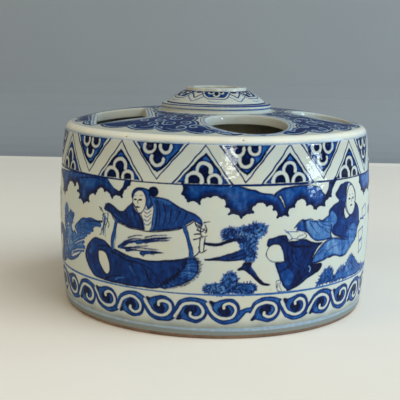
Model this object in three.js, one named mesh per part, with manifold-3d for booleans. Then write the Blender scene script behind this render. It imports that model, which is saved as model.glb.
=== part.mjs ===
// A drum-shaped porcelain stand for brushes and ink.
// A thrown wall stands on a base slab and a low foot. A pierced deck with a rounded shoulder closes
// the top, and a stepped collar with an open mouth stands in the middle of the deck.
// Millimetres, +Z up. The origin is on the table, under the middle of the drum.
import * as THREE from "three";
import { mergeVertices } from "three/addons/utils/BufferGeometryUtils.js";
import Module from "manifold-3d";

// Drum wall
const FOOT_RADIUS = 75;
const BELLY_RADIUS = 77.8;
const BELLY_HEIGHT = 46;
const SHOULDER_RADIUS = 75.2;
const WALL_TOP = 85;
const WALL_THICKNESS = 5;

// Foot and base
const FOOT_HEIGHT = 5;
const FOOT_WIDTH = 8.5;
const TREAD_BEVEL = 1.2;
const BASE_THICKNESS = 6;

// Deck
const SHOULDER_ROUND = 4.2;
const SHOULDER_SWEEP = 75;
const DECK_RISE = 10;
const DECK_THICKNESS = 4.5;
const DECK_BORE_RADIUS = 17;

// Openings in the deck: their sizes, the land between each and the shoulder, and their bearings,
// which are degrees anticlockwise from +X
const FRONT_HOLE_RADIUS = 18.3;
const FRONT_HOLE_LAND = 2.3;
const FRONT_HOLE_BEARING = -73.8;
const RIGHT_HOLE_RADIUS = 15;
const RIGHT_HOLE_LAND = 2.8;
const RIGHT_HOLE_BEARING = -5.4;
const REAR_HOLE_RADIUS = 15;
const REAR_HOLE_LAND = 6;
const REAR_HOLE_BEARING = 100;
const SLOT_WIDTH = 23.5;
const SLOT_LENGTH = 42;
const SLOT_CORNER = 2;
const SLOT_LAND = 10.15;
const SLOT_BEARING = -159.1;
const SLOT_TURN = 6;

// Collar
const COLLAR_RADIUS = 27.4;
const COLLAR_HEIGHT = 3.8;
const COLLAR_ROUND = 1.3;
const COLLAR_BORE_RADIUS = 18.5;
const LEVEL_LAND = 4;
const DOME_RADIUS = 24.7;
const DOME_HEIGHT = 6.1;
const DOME_SHOULDER_RADIUS = 15.3;
const DOME_BULGE = 0.75;
const MOUTH_RADIUS = 11.2;
const LIP_RADIUS = 15;
const LIP_HEIGHT = 1.6;
const LIP_ROUND = 0.5;

// Steps round a turned piece, a hole and a rounded corner
const DRUM_STEPS = 72;
const COLLAR_STEPS = 48;
const HOLE_STEPS = 40;
const CORNER_STEPS = 4;
const PROFILE_STEPS = 6;

const MERGE_DISTANCE = 1e-4;
const CUT_MARGIN = 5;

const baseTop = FOOT_HEIGHT + BASE_THICKNESS;
const wallInnerRadius = SHOULDER_RADIUS - WALL_THICKNESS;
const roundCentreRadius = SHOULDER_RADIUS - SHOULDER_ROUND;
const sweep = THREE.MathUtils.degToRad(SHOULDER_SWEEP);
const rimRadius = roundCentreRadius + SHOULDER_ROUND * Math.cos(sweep);
const deckTop = WALL_TOP + DECK_RISE;
const deckFall = DECK_RISE - SHOULDER_ROUND * Math.sin(sweep);
const levelRadius = COLLAR_RADIUS + LEVEL_LAND;
const collarTop = deckTop + COLLAR_HEIGHT;
const domeTop = collarTop + DOME_HEIGHT;
const lipTop = domeTop + LIP_HEIGHT;

const wasm = await Module();
wasm.setup();

// The outer radius of the drum at a height: two parabolas that meet at the belly.
function drumRadius(height) {
  if (height < BELLY_HEIGHT) {
    const down = (BELLY_HEIGHT - height) / BELLY_HEIGHT;
    return BELLY_RADIUS - (BELLY_RADIUS - FOOT_RADIUS) * down ** 2;
  }
  const up = (height - BELLY_HEIGHT) / (WALL_TOP - BELLY_HEIGHT);
  return BELLY_RADIUS - (BELLY_RADIUS - SHOULDER_RADIUS) * up ** 2;
}

// The deck's upper face is level near the collar, then falls to the shoulder's round.
function deckHeight(radius) {
  const out = (radius - levelRadius) / (rimRadius - levelRadius);
  return deckTop - deckFall * out ** 2;
}

// The deck's lower face falls to the inner edge of the wall's top.
function deckUnderside(radius) {
  const out = (radius - levelRadius) / (wallInnerRadius - levelRadius);
  return deckTop - DECK_THICKNESS - (DECK_RISE - DECK_THICKNESS) * out ** 2;
}

// Evenly spaced numbers from one to another, both included.
function spread(from, to, steps) {
  return Array.from({ length: steps + 1 }, (_, step) => from + ((to - from) * step) / steps);
}

// Outline points along the drum's outer face, between two heights.
function drumFace(from, to, steps) {
  return spread(from, to, steps).map((height) => [drumRadius(height), height]);
}

// Outline points on a quarter or less of a circle, between two angles in degrees.
function rounded([radius, height], round, from, to, steps) {
  return spread(from, to, steps).map((degrees) => {
    const angle = THREE.MathUtils.degToRad(degrees);
    return [radius + round * Math.cos(angle), height + round * Math.sin(angle)];
  });
}

// Outline points from one place to another, bulging to the right of the way by a small height.
function bulged([r0, h0], [r1, h1], bulge, steps) {
  const length = Math.hypot(r1 - r0, h1 - h0);
  const out = [(h1 - h0) / length, (r0 - r1) / length];
  return spread(0, 1, steps).map((share) => {
    const swell = 4 * bulge * share * (1 - share);
    return [r0 + (r1 - r0) * share + out[0] * swell, h0 + (h1 - h0) * share + out[1] * swell];
  });
}

// A piece turned about the upright axis from an outline that goes anticlockwise.
function turned(outline, steps) {
  const points = outline.map(([radius, height]) => new THREE.Vector2(radius, height));
  return new THREE.LatheGeometry(points, steps).rotateX(Math.PI / 2);
}

// A ring is turned from an outline that comes back to its first point.
function turnedRing(outline, steps) {
  return turned([...outline, outline[0]], steps);
}

function solidOf(geometry) {
  const bare = geometry.clone();
  bare.deleteAttribute("normal");
  bare.deleteAttribute("uv");
  const merged = mergeVertices(bare, MERGE_DISTANCE);
  return new wasm.Manifold(
    new wasm.Mesh({
      numProp: 3,
      vertProperties: merged.attributes.position.array,
      triVerts: new Uint32Array(merged.index.array),
    }),
  );
}

function geometryOf(solid) {
  const mesh = solid.getMesh();
  const geometry = new THREE.BufferGeometry();
  geometry.setAttribute("position", new THREE.BufferAttribute(mesh.vertProperties, mesh.numProp));
  geometry.setIndex(new THREE.BufferAttribute(mesh.triVerts, 1));
  const flat = geometry.toNonIndexed();
  flat.computeVertexNormals();
  return flat;
}

// Where an opening lies: its middle is one reach from the axis, on its bearing.
function placed(geometry, reach, bearing, turn = 0) {
  const angle = THREE.MathUtils.degToRad(bearing);
  return geometry
    .rotateZ(THREE.MathUtils.degToRad(turn))
    .translate(reach * Math.cos(angle), reach * Math.sin(angle), 0);
}

const cutBottom = WALL_TOP - CUT_MARGIN;
const cutHeight = DECK_RISE + 2 * CUT_MARGIN;

function roundCutter(radius, land, bearing) {
  const cutter = new THREE.CylinderGeometry(radius, radius, cutHeight, HOLE_STEPS)
    .rotateX(Math.PI / 2)
    .translate(0, 0, cutBottom + cutHeight / 2);
  return placed(cutter, roundCentreRadius - land - radius, bearing);
}

function slotCutter() {
  const [x, y] = [SLOT_WIDTH / 2, SLOT_LENGTH / 2];
  const outline = new THREE.Shape();
  outline.moveTo(x, -y + SLOT_CORNER);
  outline.absarc(x - SLOT_CORNER, y - SLOT_CORNER, SLOT_CORNER, 0, Math.PI / 2);
  outline.absarc(-x + SLOT_CORNER, y - SLOT_CORNER, SLOT_CORNER, Math.PI / 2, Math.PI);
  outline.absarc(-x + SLOT_CORNER, -y + SLOT_CORNER, SLOT_CORNER, Math.PI, 1.5 * Math.PI);
  outline.absarc(x - SLOT_CORNER, -y + SLOT_CORNER, SLOT_CORNER, 1.5 * Math.PI, 2 * Math.PI);
  const options = { depth: cutHeight, bevelEnabled: false, curveSegments: CORNER_STEPS };
  const cutter = new THREE.ExtrudeGeometry(outline, options).translate(0, 0, cutBottom);
  const reach = roundCentreRadius - SLOT_LAND - SLOT_WIDTH / 2;
  return placed(cutter, reach, SLOT_BEARING, SLOT_TURN);
}

function footRing() {
  const inner = FOOT_RADIUS - FOOT_WIDTH;
  return turnedRing(
    [
      [inner + TREAD_BEVEL, 0],
      [FOOT_RADIUS - TREAD_BEVEL, 0],
      ...drumFace(TREAD_BEVEL, FOOT_HEIGHT, 1),
      [inner, FOOT_HEIGHT],
      [inner, TREAD_BEVEL],
    ],
    DRUM_STEPS,
  );
}

function baseDisc() {
  return turned(
    [[0, FOOT_HEIGHT], ...drumFace(FOOT_HEIGHT, baseTop, 1), [0, baseTop]],
    DRUM_STEPS,
  );
}

function drumWall() {
  const outer = drumFace(baseTop, WALL_TOP, 2 * PROFILE_STEPS);
  const inner = drumFace(baseTop, WALL_TOP, PROFILE_STEPS).reverse();
  return turnedRing(
    [...outer, ...inner.map(([radius, height]) => [radius - WALL_THICKNESS, height])],
    DRUM_STEPS,
  );
}

function deckPlate() {
  const roundCentre = [roundCentreRadius, WALL_TOP];
  const upper = spread(rimRadius, levelRadius, PROFILE_STEPS)
    .map((radius) => [radius, deckHeight(radius)]);
  const lower = spread(levelRadius, wallInnerRadius, PROFILE_STEPS)
    .map((radius) => [radius, deckUnderside(radius)]);
  const blank = turnedRing(
    [
      [DECK_BORE_RADIUS, deckTop - DECK_THICKNESS],
      ...lower,
      ...rounded(roundCentre, SHOULDER_ROUND, 0, SHOULDER_SWEEP, PROFILE_STEPS),
      ...upper.slice(1),
      [DECK_BORE_RADIUS, deckTop],
    ],
    DRUM_STEPS,
  );
  return [
    roundCutter(FRONT_HOLE_RADIUS, FRONT_HOLE_LAND, FRONT_HOLE_BEARING),
    roundCutter(RIGHT_HOLE_RADIUS, RIGHT_HOLE_LAND, RIGHT_HOLE_BEARING),
    roundCutter(REAR_HOLE_RADIUS, REAR_HOLE_LAND, REAR_HOLE_BEARING),
    slotCutter(),
  ].reduce((solid, cutter) => solid.subtract(solidOf(cutter)), solidOf(blank));
}

function collarRing() {
  const roundCentre = [COLLAR_RADIUS - COLLAR_ROUND, collarTop - COLLAR_ROUND];
  return turnedRing(
    [
      [COLLAR_BORE_RADIUS, deckTop],
      [COLLAR_RADIUS, deckTop],
      ...rounded(roundCentre, COLLAR_ROUND, 0, 90, CORNER_STEPS),
      [COLLAR_BORE_RADIUS, collarTop],
    ],
    COLLAR_STEPS,
  );
}

function collarDome() {
  const outer = bulged(
    [DOME_RADIUS, collarTop],
    [DOME_SHOULDER_RADIUS, domeTop],
    DOME_BULGE,
    PROFILE_STEPS,
  );
  return turnedRing([[COLLAR_BORE_RADIUS, collarTop], ...outer, [MOUTH_RADIUS, domeTop]], COLLAR_STEPS);
}

function mouthLip() {
  const roundCentre = [LIP_RADIUS - LIP_ROUND, lipTop - LIP_ROUND];
  return turnedRing(
    [
      [MOUTH_RADIUS, domeTop],
      [LIP_RADIUS, domeTop],
      ...rounded(roundCentre, LIP_ROUND, 0, 90, CORNER_STEPS),
      [MOUTH_RADIUS, lipTop],
    ],
    COLLAR_STEPS,
  );
}

const bareClay = { color: 0x9a6a43, roughness: 0.85, metalness: 0 };
const glaze = { color: 0xd3d8d8, roughness: 0.12, metalness: 0 };
const paintedGlaze = { color: 0x6f86b4, roughness: 0.12, metalness: 0 };

function piece(name, geometry, look) {
  const mesh = new THREE.Mesh(geometry, new THREE.MeshStandardMaterial(look));
  mesh.name = name;
  return mesh;
}

const stand = new THREE.Group();
stand.add(
  piece("foot_ring", footRing(), bareClay),
  piece("base_disc", baseDisc(), bareClay),
  piece("drum_wall", drumWall(), paintedGlaze),
  piece("deck_plate", geometryOf(deckPlate()), paintedGlaze),
  piece("collar_ring", collarRing(), glaze),
  piece("collar_dome", collarDome(), paintedGlaze),
  piece("mouth_lip", mouthLip(), glaze),
);

export default stand;
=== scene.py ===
"""Brush and ink stand: a blue-and-white porcelain drum, turned, painted and glazed piece by piece."""

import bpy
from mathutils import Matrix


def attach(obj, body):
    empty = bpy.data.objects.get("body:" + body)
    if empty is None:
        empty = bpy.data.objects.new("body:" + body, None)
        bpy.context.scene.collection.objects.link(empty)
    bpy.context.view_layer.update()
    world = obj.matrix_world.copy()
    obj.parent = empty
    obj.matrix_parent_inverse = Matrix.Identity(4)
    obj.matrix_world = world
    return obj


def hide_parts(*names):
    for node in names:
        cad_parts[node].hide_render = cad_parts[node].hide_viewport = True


bl_info = {
    "name": "Brush and Ink Stand",
    "version": (1, 0, 0),
    "blender": (4, 5, 0),
    "location": "View3D > Sidebar > Ink Stand",
    "description": "Turns, paints and glazes a porcelain drum stand for brushes and ink",
    "category": "Object",
}

import math

import bmesh
import bpy
import numpy as np
from bpy.props import FloatProperty, FloatVectorProperty, IntProperty, PointerProperty
from mathutils import Matrix, Vector

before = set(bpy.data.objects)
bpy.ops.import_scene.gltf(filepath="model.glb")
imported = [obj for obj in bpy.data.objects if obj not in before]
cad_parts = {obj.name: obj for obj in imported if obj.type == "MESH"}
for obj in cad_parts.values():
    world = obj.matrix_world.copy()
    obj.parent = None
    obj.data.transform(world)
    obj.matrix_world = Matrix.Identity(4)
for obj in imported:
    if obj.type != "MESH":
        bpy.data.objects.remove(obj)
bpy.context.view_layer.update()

# Measures in millimetres, as on the potter's drawing
MM = 0.001
TRIM = 0.9998
FOOT_RADIUS = 75.0
BELLY_RADIUS = 77.8
BELLY_HEIGHT = 46.0
SHOULDER_RADIUS = 75.2
WALL_TOP = 85.0
INNER_RADIUS = 70.2
WALL_BACK = INNER_RADIUS + 1.0
FOOT_WIDTH = 8.5
FOOT_TOP = 5.0
FLOOR_TOP = 11.0
BARE_TOP = 1.9
SCROLL_TOP = 20.6
FRIEZE_MIDDLE = 44.6
FRIEZE_TOP = 68.6
ROUND_RADIUS = 4.2
ROUND_CENTRE = 71.0
ROUND_SWEEP = math.radians(75)
RIM_RADIUS = ROUND_CENTRE + ROUND_RADIUS * math.cos(ROUND_SWEEP)
DECK_TOP = 95.0
DECK_FALL = 10.0 - ROUND_RADIUS * math.sin(ROUND_SWEEP)
LEVEL_RADIUS = 31.4
DECK_UNDER = 90.5
UNDER_FALL = 5.5
DECK_BORE = 17.0
COLLAR_RADIUS = 27.4
COLLAR_TOP = 98.8
DOME_RADIUS = 24.7
DOME_TOP = 104.9
DOME_SHOULDER = 15.3
LIP_TOP = 106.5
LIP_RADIUS = 15.0
MOUTH_RADIUS = 11.2
ARC_RADIUS = 77.0
ROUND_THE_DRUM = 2 * math.pi * ARC_RADIUS
FAR = 4.0

# Openings in the deck: middle across, middle deep, half length, half width, corner radius, turn
FRONT_HOLE = (14.06, -48.4, 18.3, 18.3, 18.3, 0.0)
RIGHT_HOLE = (53.0, -5.0, 15.0, 15.0, 15.0, 0.0)
REAR_HOLE = (-8.7, 49.2, 15.0, 15.0, 15.0, 0.0)
OPENINGS = (FRONT_HOLE, RIGHT_HOLE, REAR_HOLE)


def drum_radius(z):
    """The wall's outer radius at a height."""
    low = BELLY_RADIUS - (BELLY_RADIUS - FOOT_RADIUS) * ((BELLY_HEIGHT - z) / BELLY_HEIGHT) ** 2
    rise = (z - BELLY_HEIGHT) / (WALL_TOP - BELLY_HEIGHT)
    high = BELLY_RADIUS - (BELLY_RADIUS - SHOULDER_RADIUS) * rise**2
    return low if z < BELLY_HEIGHT else high


def deck_height(r):
    """The height of the deck's top at a distance from the middle."""
    outward = np.clip(r - LEVEL_RADIUS, 0, None) / (RIM_RADIUS - LEVEL_RADIUS)
    return DECK_TOP - DECK_FALL * outward**2


def deck_under(r):
    """The height of the deck's underside at a distance from the middle."""
    outward = np.clip(r - LEVEL_RADIUS, 0, None) / (INNER_RADIUS - LEVEL_RADIUS)
    return DECK_UNDER - UNDER_FALL * outward**2


def hole_distance(x, y, hole):
    """Distance from the edge of an opening, less than nothing inside it."""
    cx, cy, half_long, half_wide, corner, turn = hole
    dx, dy = x - cx, y - cy
    along = np.abs(dx * math.cos(turn) + dy * math.sin(turn)) - (half_long - corner)
    across = np.abs(-dx * math.sin(turn) + dy * math.cos(turn)) - (half_wide - corner)
    outside = np.hypot(np.clip(along, 0, None), np.clip(across, 0, None))
    return outside + np.clip(np.maximum(along, across), None, 0) - corner


def flow(points, closed=False, steps=6):
    """A smooth line through given points; any further number of a point, such as a width, goes along."""
    p = np.array(points, float)
    n = len(p)
    if n < 3:
        return p
    if closed:
        idx = [(np.arange(n) + k) % n for k in (-1, 0, 1, 2)]
    else:
        idx = [np.clip(np.arange(n - 1) + k, 0, n - 1) for k in (-1, 0, 1, 2)]
    a, b, c, d = (p[i][:, None, :] for i in idx)
    t = (np.arange(steps) / steps)[None, :, None]
    bend, twist = 2 * a - 5 * b + 4 * c - d, 3 * b - a - 3 * c + d
    curve = 0.5 * (2 * b + (c - a) * t + bend * t**2 + twist * t**3)
    curve = curve.reshape(-1, p.shape[1])
    return curve if closed else np.vstack([curve, p[-1:]])


def path_distance(u, z, path):
    """Distance from points to a path of (across, up, half width), less than nothing on the path."""
    best = np.full(len(u), FAR)
    for (au, az, aw), (bu, bz, bw) in zip(path[:-1], path[1:]):
        du, dz = bu - au, bz - az
        t = np.clip(((u - au) * du + (z - az) * dz) / max(du * du + dz * dz, 1e-9), 0, 1)
        best = np.minimum(best, np.hypot(u - au - t * du, z - az - t * dz) - (aw + t * (bw - aw)))
    return best


def hand(u, z, round_length):
    """Where an unsteady hand puts each point: a little off, and the same way wherever pieces meet."""
    whole = round_length or ROUND_THE_DRUM
    slow, quick = (2 * math.pi * u / whole * round(whole / size) for size in (11.0, 6.2))
    across = 0.14 * np.sin(slow + 0.55 * z) + 0.07 * np.sin(quick - 0.9 * z + 1.3)
    up = 0.11 * np.sin(slow - 0.48 * z + 2.1) + 0.05 * np.sin(quick + 1.1 * z)
    return u + across, z + up


class Painting:
    """Brushwork on a piece's points: washes with a tone and lines with an ink, as distances in mm."""

    def __init__(self, u, z, round_length=ROUND_THE_DRUM):
        self.round_length = round_length
        self.true = u, z
        self.u, self.z = hand(u, z, round_length)
        self.layers = {}
        for name in ("fill", "line"):
            self.layers[name] = [np.full(len(u), FAR), np.zeros(len(u))]
        self.place()

    def place(self, across=0.0, up=0.0, flip=False):
        """Where the next strokes go: moved, or mirrored as well."""
        self.moved = (across, up, -1.0 if flip else 1.0)

    def put(self, points):
        """Given points, carried to where the strokes go."""
        p = np.array(points, float)
        across, up, side = self.moved
        p[:, 0] = p[:, 0] * side + across
        p[:, 1] += up
        return p

    def beside(self, u, middle):
        """Places round the drum, counted the short way from a middle."""
        if not self.round_length:
            return u
        half = self.round_length / 2
        return (u - middle + half) % self.round_length - half + middle

    def near(self, path, reach):
        """The points near a path, and their places seen from it the short way round."""
        low, high = path[:, :2].min(0) - reach, path[:, :2].max(0) + reach
        u = self.beside(self.u, (low[0] + high[0]) / 2)
        idx = np.flatnonzero((u > low[0]) & (u < high[0]) & (self.z > low[1]) & (self.z < high[1]))
        return idx, u[idx], self.z[idx]

    def lay(self, layer, idx, distance, tone):
        """Lays paint: new paint covers what lies under it, and the nearer edge gives the tone outside."""
        field, tones = self.layers[layer]
        takes = (distance < field[idx]) | (distance < 0)
        tone = np.broadcast_to(tone, distance.shape)
        tones[idx[takes]] = tone[takes]
        field[idx] = np.minimum(field[idx], distance)

    def lift(self, idx, distance):
        """Leaves the white body bare where the distance is below nothing."""
        for field, _ in self.layers.values():
            field[idx] = np.maximum(field[idx], -distance)

    def along(self, path):
        """Distance to a path of (across, up, half width)."""
        idx, u, z = self.near(path, path[:, 2].max() + 1.5)
        return idx, path_distance(u, z, path)

    def inside(self, path):
        """Signed distance to a closed outline."""
        ring = np.vstack([path[:, :2], path[:1, :2]])
        idx, u, z = self.near(ring, 1.5)
        odd = np.zeros(len(idx), bool)
        for (au, az), (bu, bz) in zip(ring[:-1], ring[1:]):
            if bz != az:
                odd ^= ((az > z) != (bz > z)) & (u < au + (z - az) * (bu - au) / (bz - az))
        far = path_distance(u, z, np.column_stack([ring, np.zeros(len(ring))]))
        return idx, np.where(odd, -far, far)

    def wash(self, points, tone, smooth=True):
        """A filled shape."""
        p = self.put(points)
        idx, d = self.inside(flow(p, True) if smooth else p)
        self.lay("fill", idx, d, tone)

    def pooled(self, points, edge, edge_tone, middle_tone, width):
        """A filled shape that pools dark along one edge."""
        idx, d = self.inside(self.put(points))
        line = self.put(edge)
        u = self.beside(self.u[idx], (line[:, 0].min() + line[:, 0].max()) / 2)
        away = path_distance(u, self.z[idx], np.column_stack([line, np.zeros(len(line))]))
        t = np.clip(away / width, 0, 1)
        self.lay("fill", idx, d, edge_tone + (middle_tone - edge_tone) * t)

    def bare(self, points, smooth=True):
        """A shape left white, whatever lies under it."""
        p = self.put(points)
        self.lift(*self.inside(flow(p, True) if smooth else p))

    def tapered(self, points, width, tip):
        """Points with half a brush's width each; a point may bring a width of its own."""
        p = np.array([q[:2] for q in points], float)
        ends = np.interp(np.linspace(0, 1, len(p)), (0, 1), (width, width if tip is None else tip)) / 2
        if len(points[0]) > 2:
            ends = np.array([q[2] for q in points]) / 2
        return self.put(np.column_stack([p, ends]))

    def stroke(self, points, width, ink=0.9, tip=None, layer="line", smooth=True):
        """One brush stroke, which may thin out to its tip."""
        p = self.tapered(points, width, tip)
        idx, d = self.along(flow(p) if smooth else p)
        self.lay(layer, idx, d, ink)

    def bare_stroke(self, points, width, tip=None):
        """One stroke left white."""
        self.lift(*self.along(flow(self.tapered(points, width, tip))))

    def outline(self, points, width, ink=0.9):
        """A closed line."""
        self.stroke(list(points) + [points[0]], width, ink)

    def arc(self, middle, radius, start, end, width, ink=0.9, tip=None, bare=False, grow=0.0):
        """A ring or a part of one, from one angle to another in degrees; grow turns it into a spiral."""
        steps = max(4, int(abs(end - start) / 18))
        t = np.linspace(0, 1, steps + 1)
        a = np.radians(start + (end - start) * t)
        r = radius + grow * t
        points = np.column_stack([middle[0] + r * np.cos(a), middle[1] + r * np.sin(a)])
        if bare:
            self.bare_stroke(points, width, tip)
        else:
            self.stroke(points, width, ink, tip)

    def fuzzy(self, points, tone, needle, seed, every=1):
        """A filled shape with short strokes thrown out over its edge, as for foliage and fur."""
        p = flow(points, True, 4)[::every]
        self.wash([tuple(q) for q in p], tone, smooth=False)
        middle = p[:, :2].mean(0)
        rng = np.random.RandomState(seed)
        for q in p:
            a = math.atan2(q[1] - middle[1], q[0] - middle[0]) + rng.uniform(-0.9, 0.9)
            far = needle * rng.uniform(0.5, 1.0)
            tip = (q[0] + far * math.cos(a), q[1] + far * math.sin(a))
            back = (q[0] - 0.7 * math.cos(a), q[1] - 0.7 * math.sin(a))
            self.stroke([back, tip], 0.95, tone - rng.uniform(0.08, 0.22), 0.65, layer="fill", smooth=False)

    def keep(self, mesh, painted):
        """Writes the layers onto the mesh; points that face away from the painter stay bare."""
        for name in ("fill", "line"):
            field, tone = self.layers[name]
            whole = np.full(len(painted), FAR)
            whole[painted] = np.clip(field, -FAR, FAR)
            shade = np.zeros(len(painted))
            shade[painted] = tone
            for label, values in ((name, whole), (name + "_tone", shade)):
                attribute = mesh.attributes.new(label, "FLOAT", "POINT")
                attribute.data.foreach_set("value", values.astype(np.float32))


# Borders of the drum
UP_POINTS = (-84, -44, -4, 34, 72, 108.4, 144.8, 181.2, 217.6, 254, 290.4, 326.8, 363.2)
DOWN_POINTS = (-64, -25.5, 13.5, 52, 90, 126.6, 163, 199.4, 235.8, 272.2, 308.6, 345, 381.4)
DIAPER_LOW, DIAPER_HIGH = 69.2, 85.6
SCROLL_PAIRS = 16
SCROLL_FRONT = (-80.5, -66, -51.5, -37, -22.6, -8.2, 6.4, 25, 40, 54.8, 69.5, 84)
SCROLL_BREAK = 6  # the painter's last curl before the gap that a short stroke closes
SCROLL_MIDDLE = 13.3


def horseshoe(p, middle, radius, width, standing, leg):
    """One white horseshoe of a petal border, with its dark eye."""
    rng = np.random.RandomState(int((middle[0] + 300) * 10))
    middle = (middle[0] + rng.uniform(-0.35, 0.35), middle[1] + rng.uniform(-0.3, 0.2))
    radius, width = radius + rng.uniform(-0.25, 0.2), width + rng.uniform(-0.15, 0.15)
    if standing:
        start, end = -6 - rng.uniform(0, 16), 186 + rng.uniform(-12, 20)
    else:
        start, end = 174 - rng.uniform(0, 14), 366
    p.arc(middle, radius, start, end, width, bare=True, tip=width * 0.75)
    down = -leg if standing else leg
    if leg:
        for side in (-1, 1):
            u = middle[0] + side * radius
            p.bare_stroke([(u, middle[1]), (u - side * 0.1, middle[1] + down)], width * 0.95, width * 0.75)


def petal_sides(p, apex, left, right, foot, point):
    """The two lines that meet in a petal's point."""
    middle = (foot + point) / 2 - math.copysign(0.2, point - foot)
    for reach in (-left, right):
        p.stroke([(apex + reach, foot), (apex + reach * 0.5, middle), (apex, point)], 0.8, 0.84, 0.6)


def petal_up(p, apex, left, right):
    """A petal that stands on the lower line, with three horseshoes in it."""
    petal_sides(p, apex, left, right, DIAPER_LOW, DIAPER_HIGH)
    l, r = left - 1.4, right - 1.4
    field = [(0, 82.4), (r * 0.27, 79.3), (r * 0.5, 76.3), (r * 0.78, 72.3), (r, 69.3), (0, 69.2),
             (-l, 69.3), (-l * 0.78, 72.3), (-l * 0.5, 76.3), (-l * 0.27, 79.3)]
    p.wash([(apex + u, z) for u, z in field], 0.60, smooth=False)
    p.stroke([(apex - l * 0.62, 73.6), (apex - l * 0.3, 78.0), (apex, 81.2), (apex + r * 0.3, 78.0),
              (apex + r * 0.62, 73.6)], 1.3, 0.90, 0.7, layer="fill")
    p.wash([(apex - 7.4, 69.3), (apex - 6.4, 72.4), (apex - 3.6, 73.2), (apex - 2.6, 75.6),
            (apex + 0.2, 77), (apex + 2.0, 75.4), (apex + 2.6, 73), (apex + 5.4, 72.6), (apex + 6.4, 69.3)],
           0.98, smooth=False)
    horseshoe(p, (apex - 0.3, 75.0), 3.0, 1.6, True, 0)
    horseshoe(p, (apex - 4.8, 70.4), 3.5, 1.75, True, 0.9)
    horseshoe(p, (apex + 4.2, 70.4), 2.6, 1.5, True, 1.1)


def petal_down(p, apex, left, right):
    """A petal that hangs from the shoulder, with three horseshoes in it."""
    petal_sides(p, apex, left, right, DIAPER_HIGH + 0.2, DIAPER_LOW + 0.8)
    l, r = left - 1.9, right - 1.9
    field = [(0.3, 72.8), (r * 0.36, 76.5), (r * 0.66, 80.5), (r * 1.02, 85.9), (0, 86), (-l * 1.02, 85.9),
             (-l * 0.66, 80.5), (-l * 0.36, 76.5)]
    p.wash([(apex + u, z) for u, z in field], 0.58, smooth=False)
    p.stroke([(apex - l * 0.78, 82.4), (apex - l * 0.42, 77.6), (apex + 0.2, 73.8), (apex + r * 0.42, 77.6),
              (apex + r * 0.78, 82.4)], 1.2, 0.90, 0.8, layer="fill")
    p.wash([(apex - 5.8, 85.9), (apex - 4.8, 82.0), (apex - 2.6, 81.2), (apex - 2, 77.4),
            (apex - 0.3, 76.4), (apex + 1.6, 77.4), (apex + 2.2, 81.2), (apex + 4.6, 82.2),
            (apex + 5.4, 85.9)], 0.98, smooth=False)
    horseshoe(p, (apex - 3.9, 84.0), 2.6, 1.5, False, 0.8)
    horseshoe(p, (apex + 3.5, 84.1), 2.6, 1.5, False, 0.8)
    horseshoe(p, (apex - 0.3, 79.1), 2.7, 1.5, False, 0.3)


def paint_petals(p):
    """The border of standing and hanging petals under the shoulder."""
    rng = np.random.RandomState(5)
    count = len(UP_POINTS)
    for k in range(count):
        before = DOWN_POINTS[k - 1] - (ROUND_THE_DRUM if k == 0 else 0)
        after = UP_POINTS[(k + 1) % count] + (ROUND_THE_DRUM if k == count - 1 else 0)
        lean = rng.uniform(-0.25, 0.25, 2)
        p.place(up=lean[0])
        petal_up(p, UP_POINTS[k], (UP_POINTS[k] - before) * 0.65, (DOWN_POINTS[k] - UP_POINTS[k]) * 0.66)
        p.place(up=lean[1])
        petal_down(p, DOWN_POINTS[k], (DOWN_POINTS[k] - UP_POINTS[k]) * 0.67,
                   (after - DOWN_POINTS[k]) * 0.65)
    p.place()


def ring_line(p, z, width, ink):
    """A line turned round the drum on the wheel."""
    rng = np.random.RandomState(int(z * 10))
    u, up = p.true
    d = np.abs(up - z - 0.12 * np.sin(u / 31 + rng.uniform(0, 6))) - width / 2 * (1 + 0.25 * np.sin(u / 17))
    idx = np.flatnonzero(d < FAR)
    p.lay("line", idx, d[idx], ink)


def wave_curl(p, middle, upturned, left=True, right=True):
    """One curl of the wave scroll: a wave that rolls over a white spiral, with a dark comma in it."""
    s = -1 if upturned else 1

    def at(points):
        """Carries points of the curl to where it stands."""
        return [(middle + q[0], SCROLL_MIDDLE + s * q[1]) for q in points]

    ends = ([(-9.4, 3.4)] if left else []), ([(9.6, 3.4)] if right else [])
    p.stroke(at(ends[0] + [(-7.6, 0.2), (-5.2, -3.3), (-0.6, -4.9), (4.4, -3.9), (7.6, -0.4)] + ends[1]),
             2.7, 0.57, layer="fill")
    p.wash(at([(-7.6, 4.3), (-5.2, 4.5), (-2.5, 5.4), (0.5, 5.9), (3.4, 5.2), (5.5, 3.0), (6.2, -0.2),
               (4.8, -3.4), (1, -5.0), (-3, -4.2), (-5.4, -1.4), (-6.4, 1.8)]), 0.57)
    p.wash(at([(-7.8, 4.5), (-6.3, 4.7), (-5.3, 3.6), (-5.6, 2.4), (-6.8, 2.6)]), 0.86)
    p.wash(at([(-3.6, 1.6), (-1.6, 2.6), (0.6, 1.9), (1.6, 0.1), (1.2, -1.5), (-0.6, -2.3), (-2.8, -1.5),
               (-4.0, 0.2)]), 0.97)
    p.stroke(at([(-5.0, 4.0), (-1.8, 4.9), (1.0, 5.0), (3.6, 3.6), (4.9, 1.2)]), 0.5, 0.78, 0.3)
    p.bare_stroke(at([(-8.3, 3.2), (-6.9, 0.9), (-4.9, -2.0), (-1.4, -3.45), (2.3, -2.7), (4.1, -0.1),
                      (3.4, 2.4), (0.9, 3.5), (-1.3, 2.6), (-1.3, 1.3)]), 1.25, 1.15)


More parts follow.
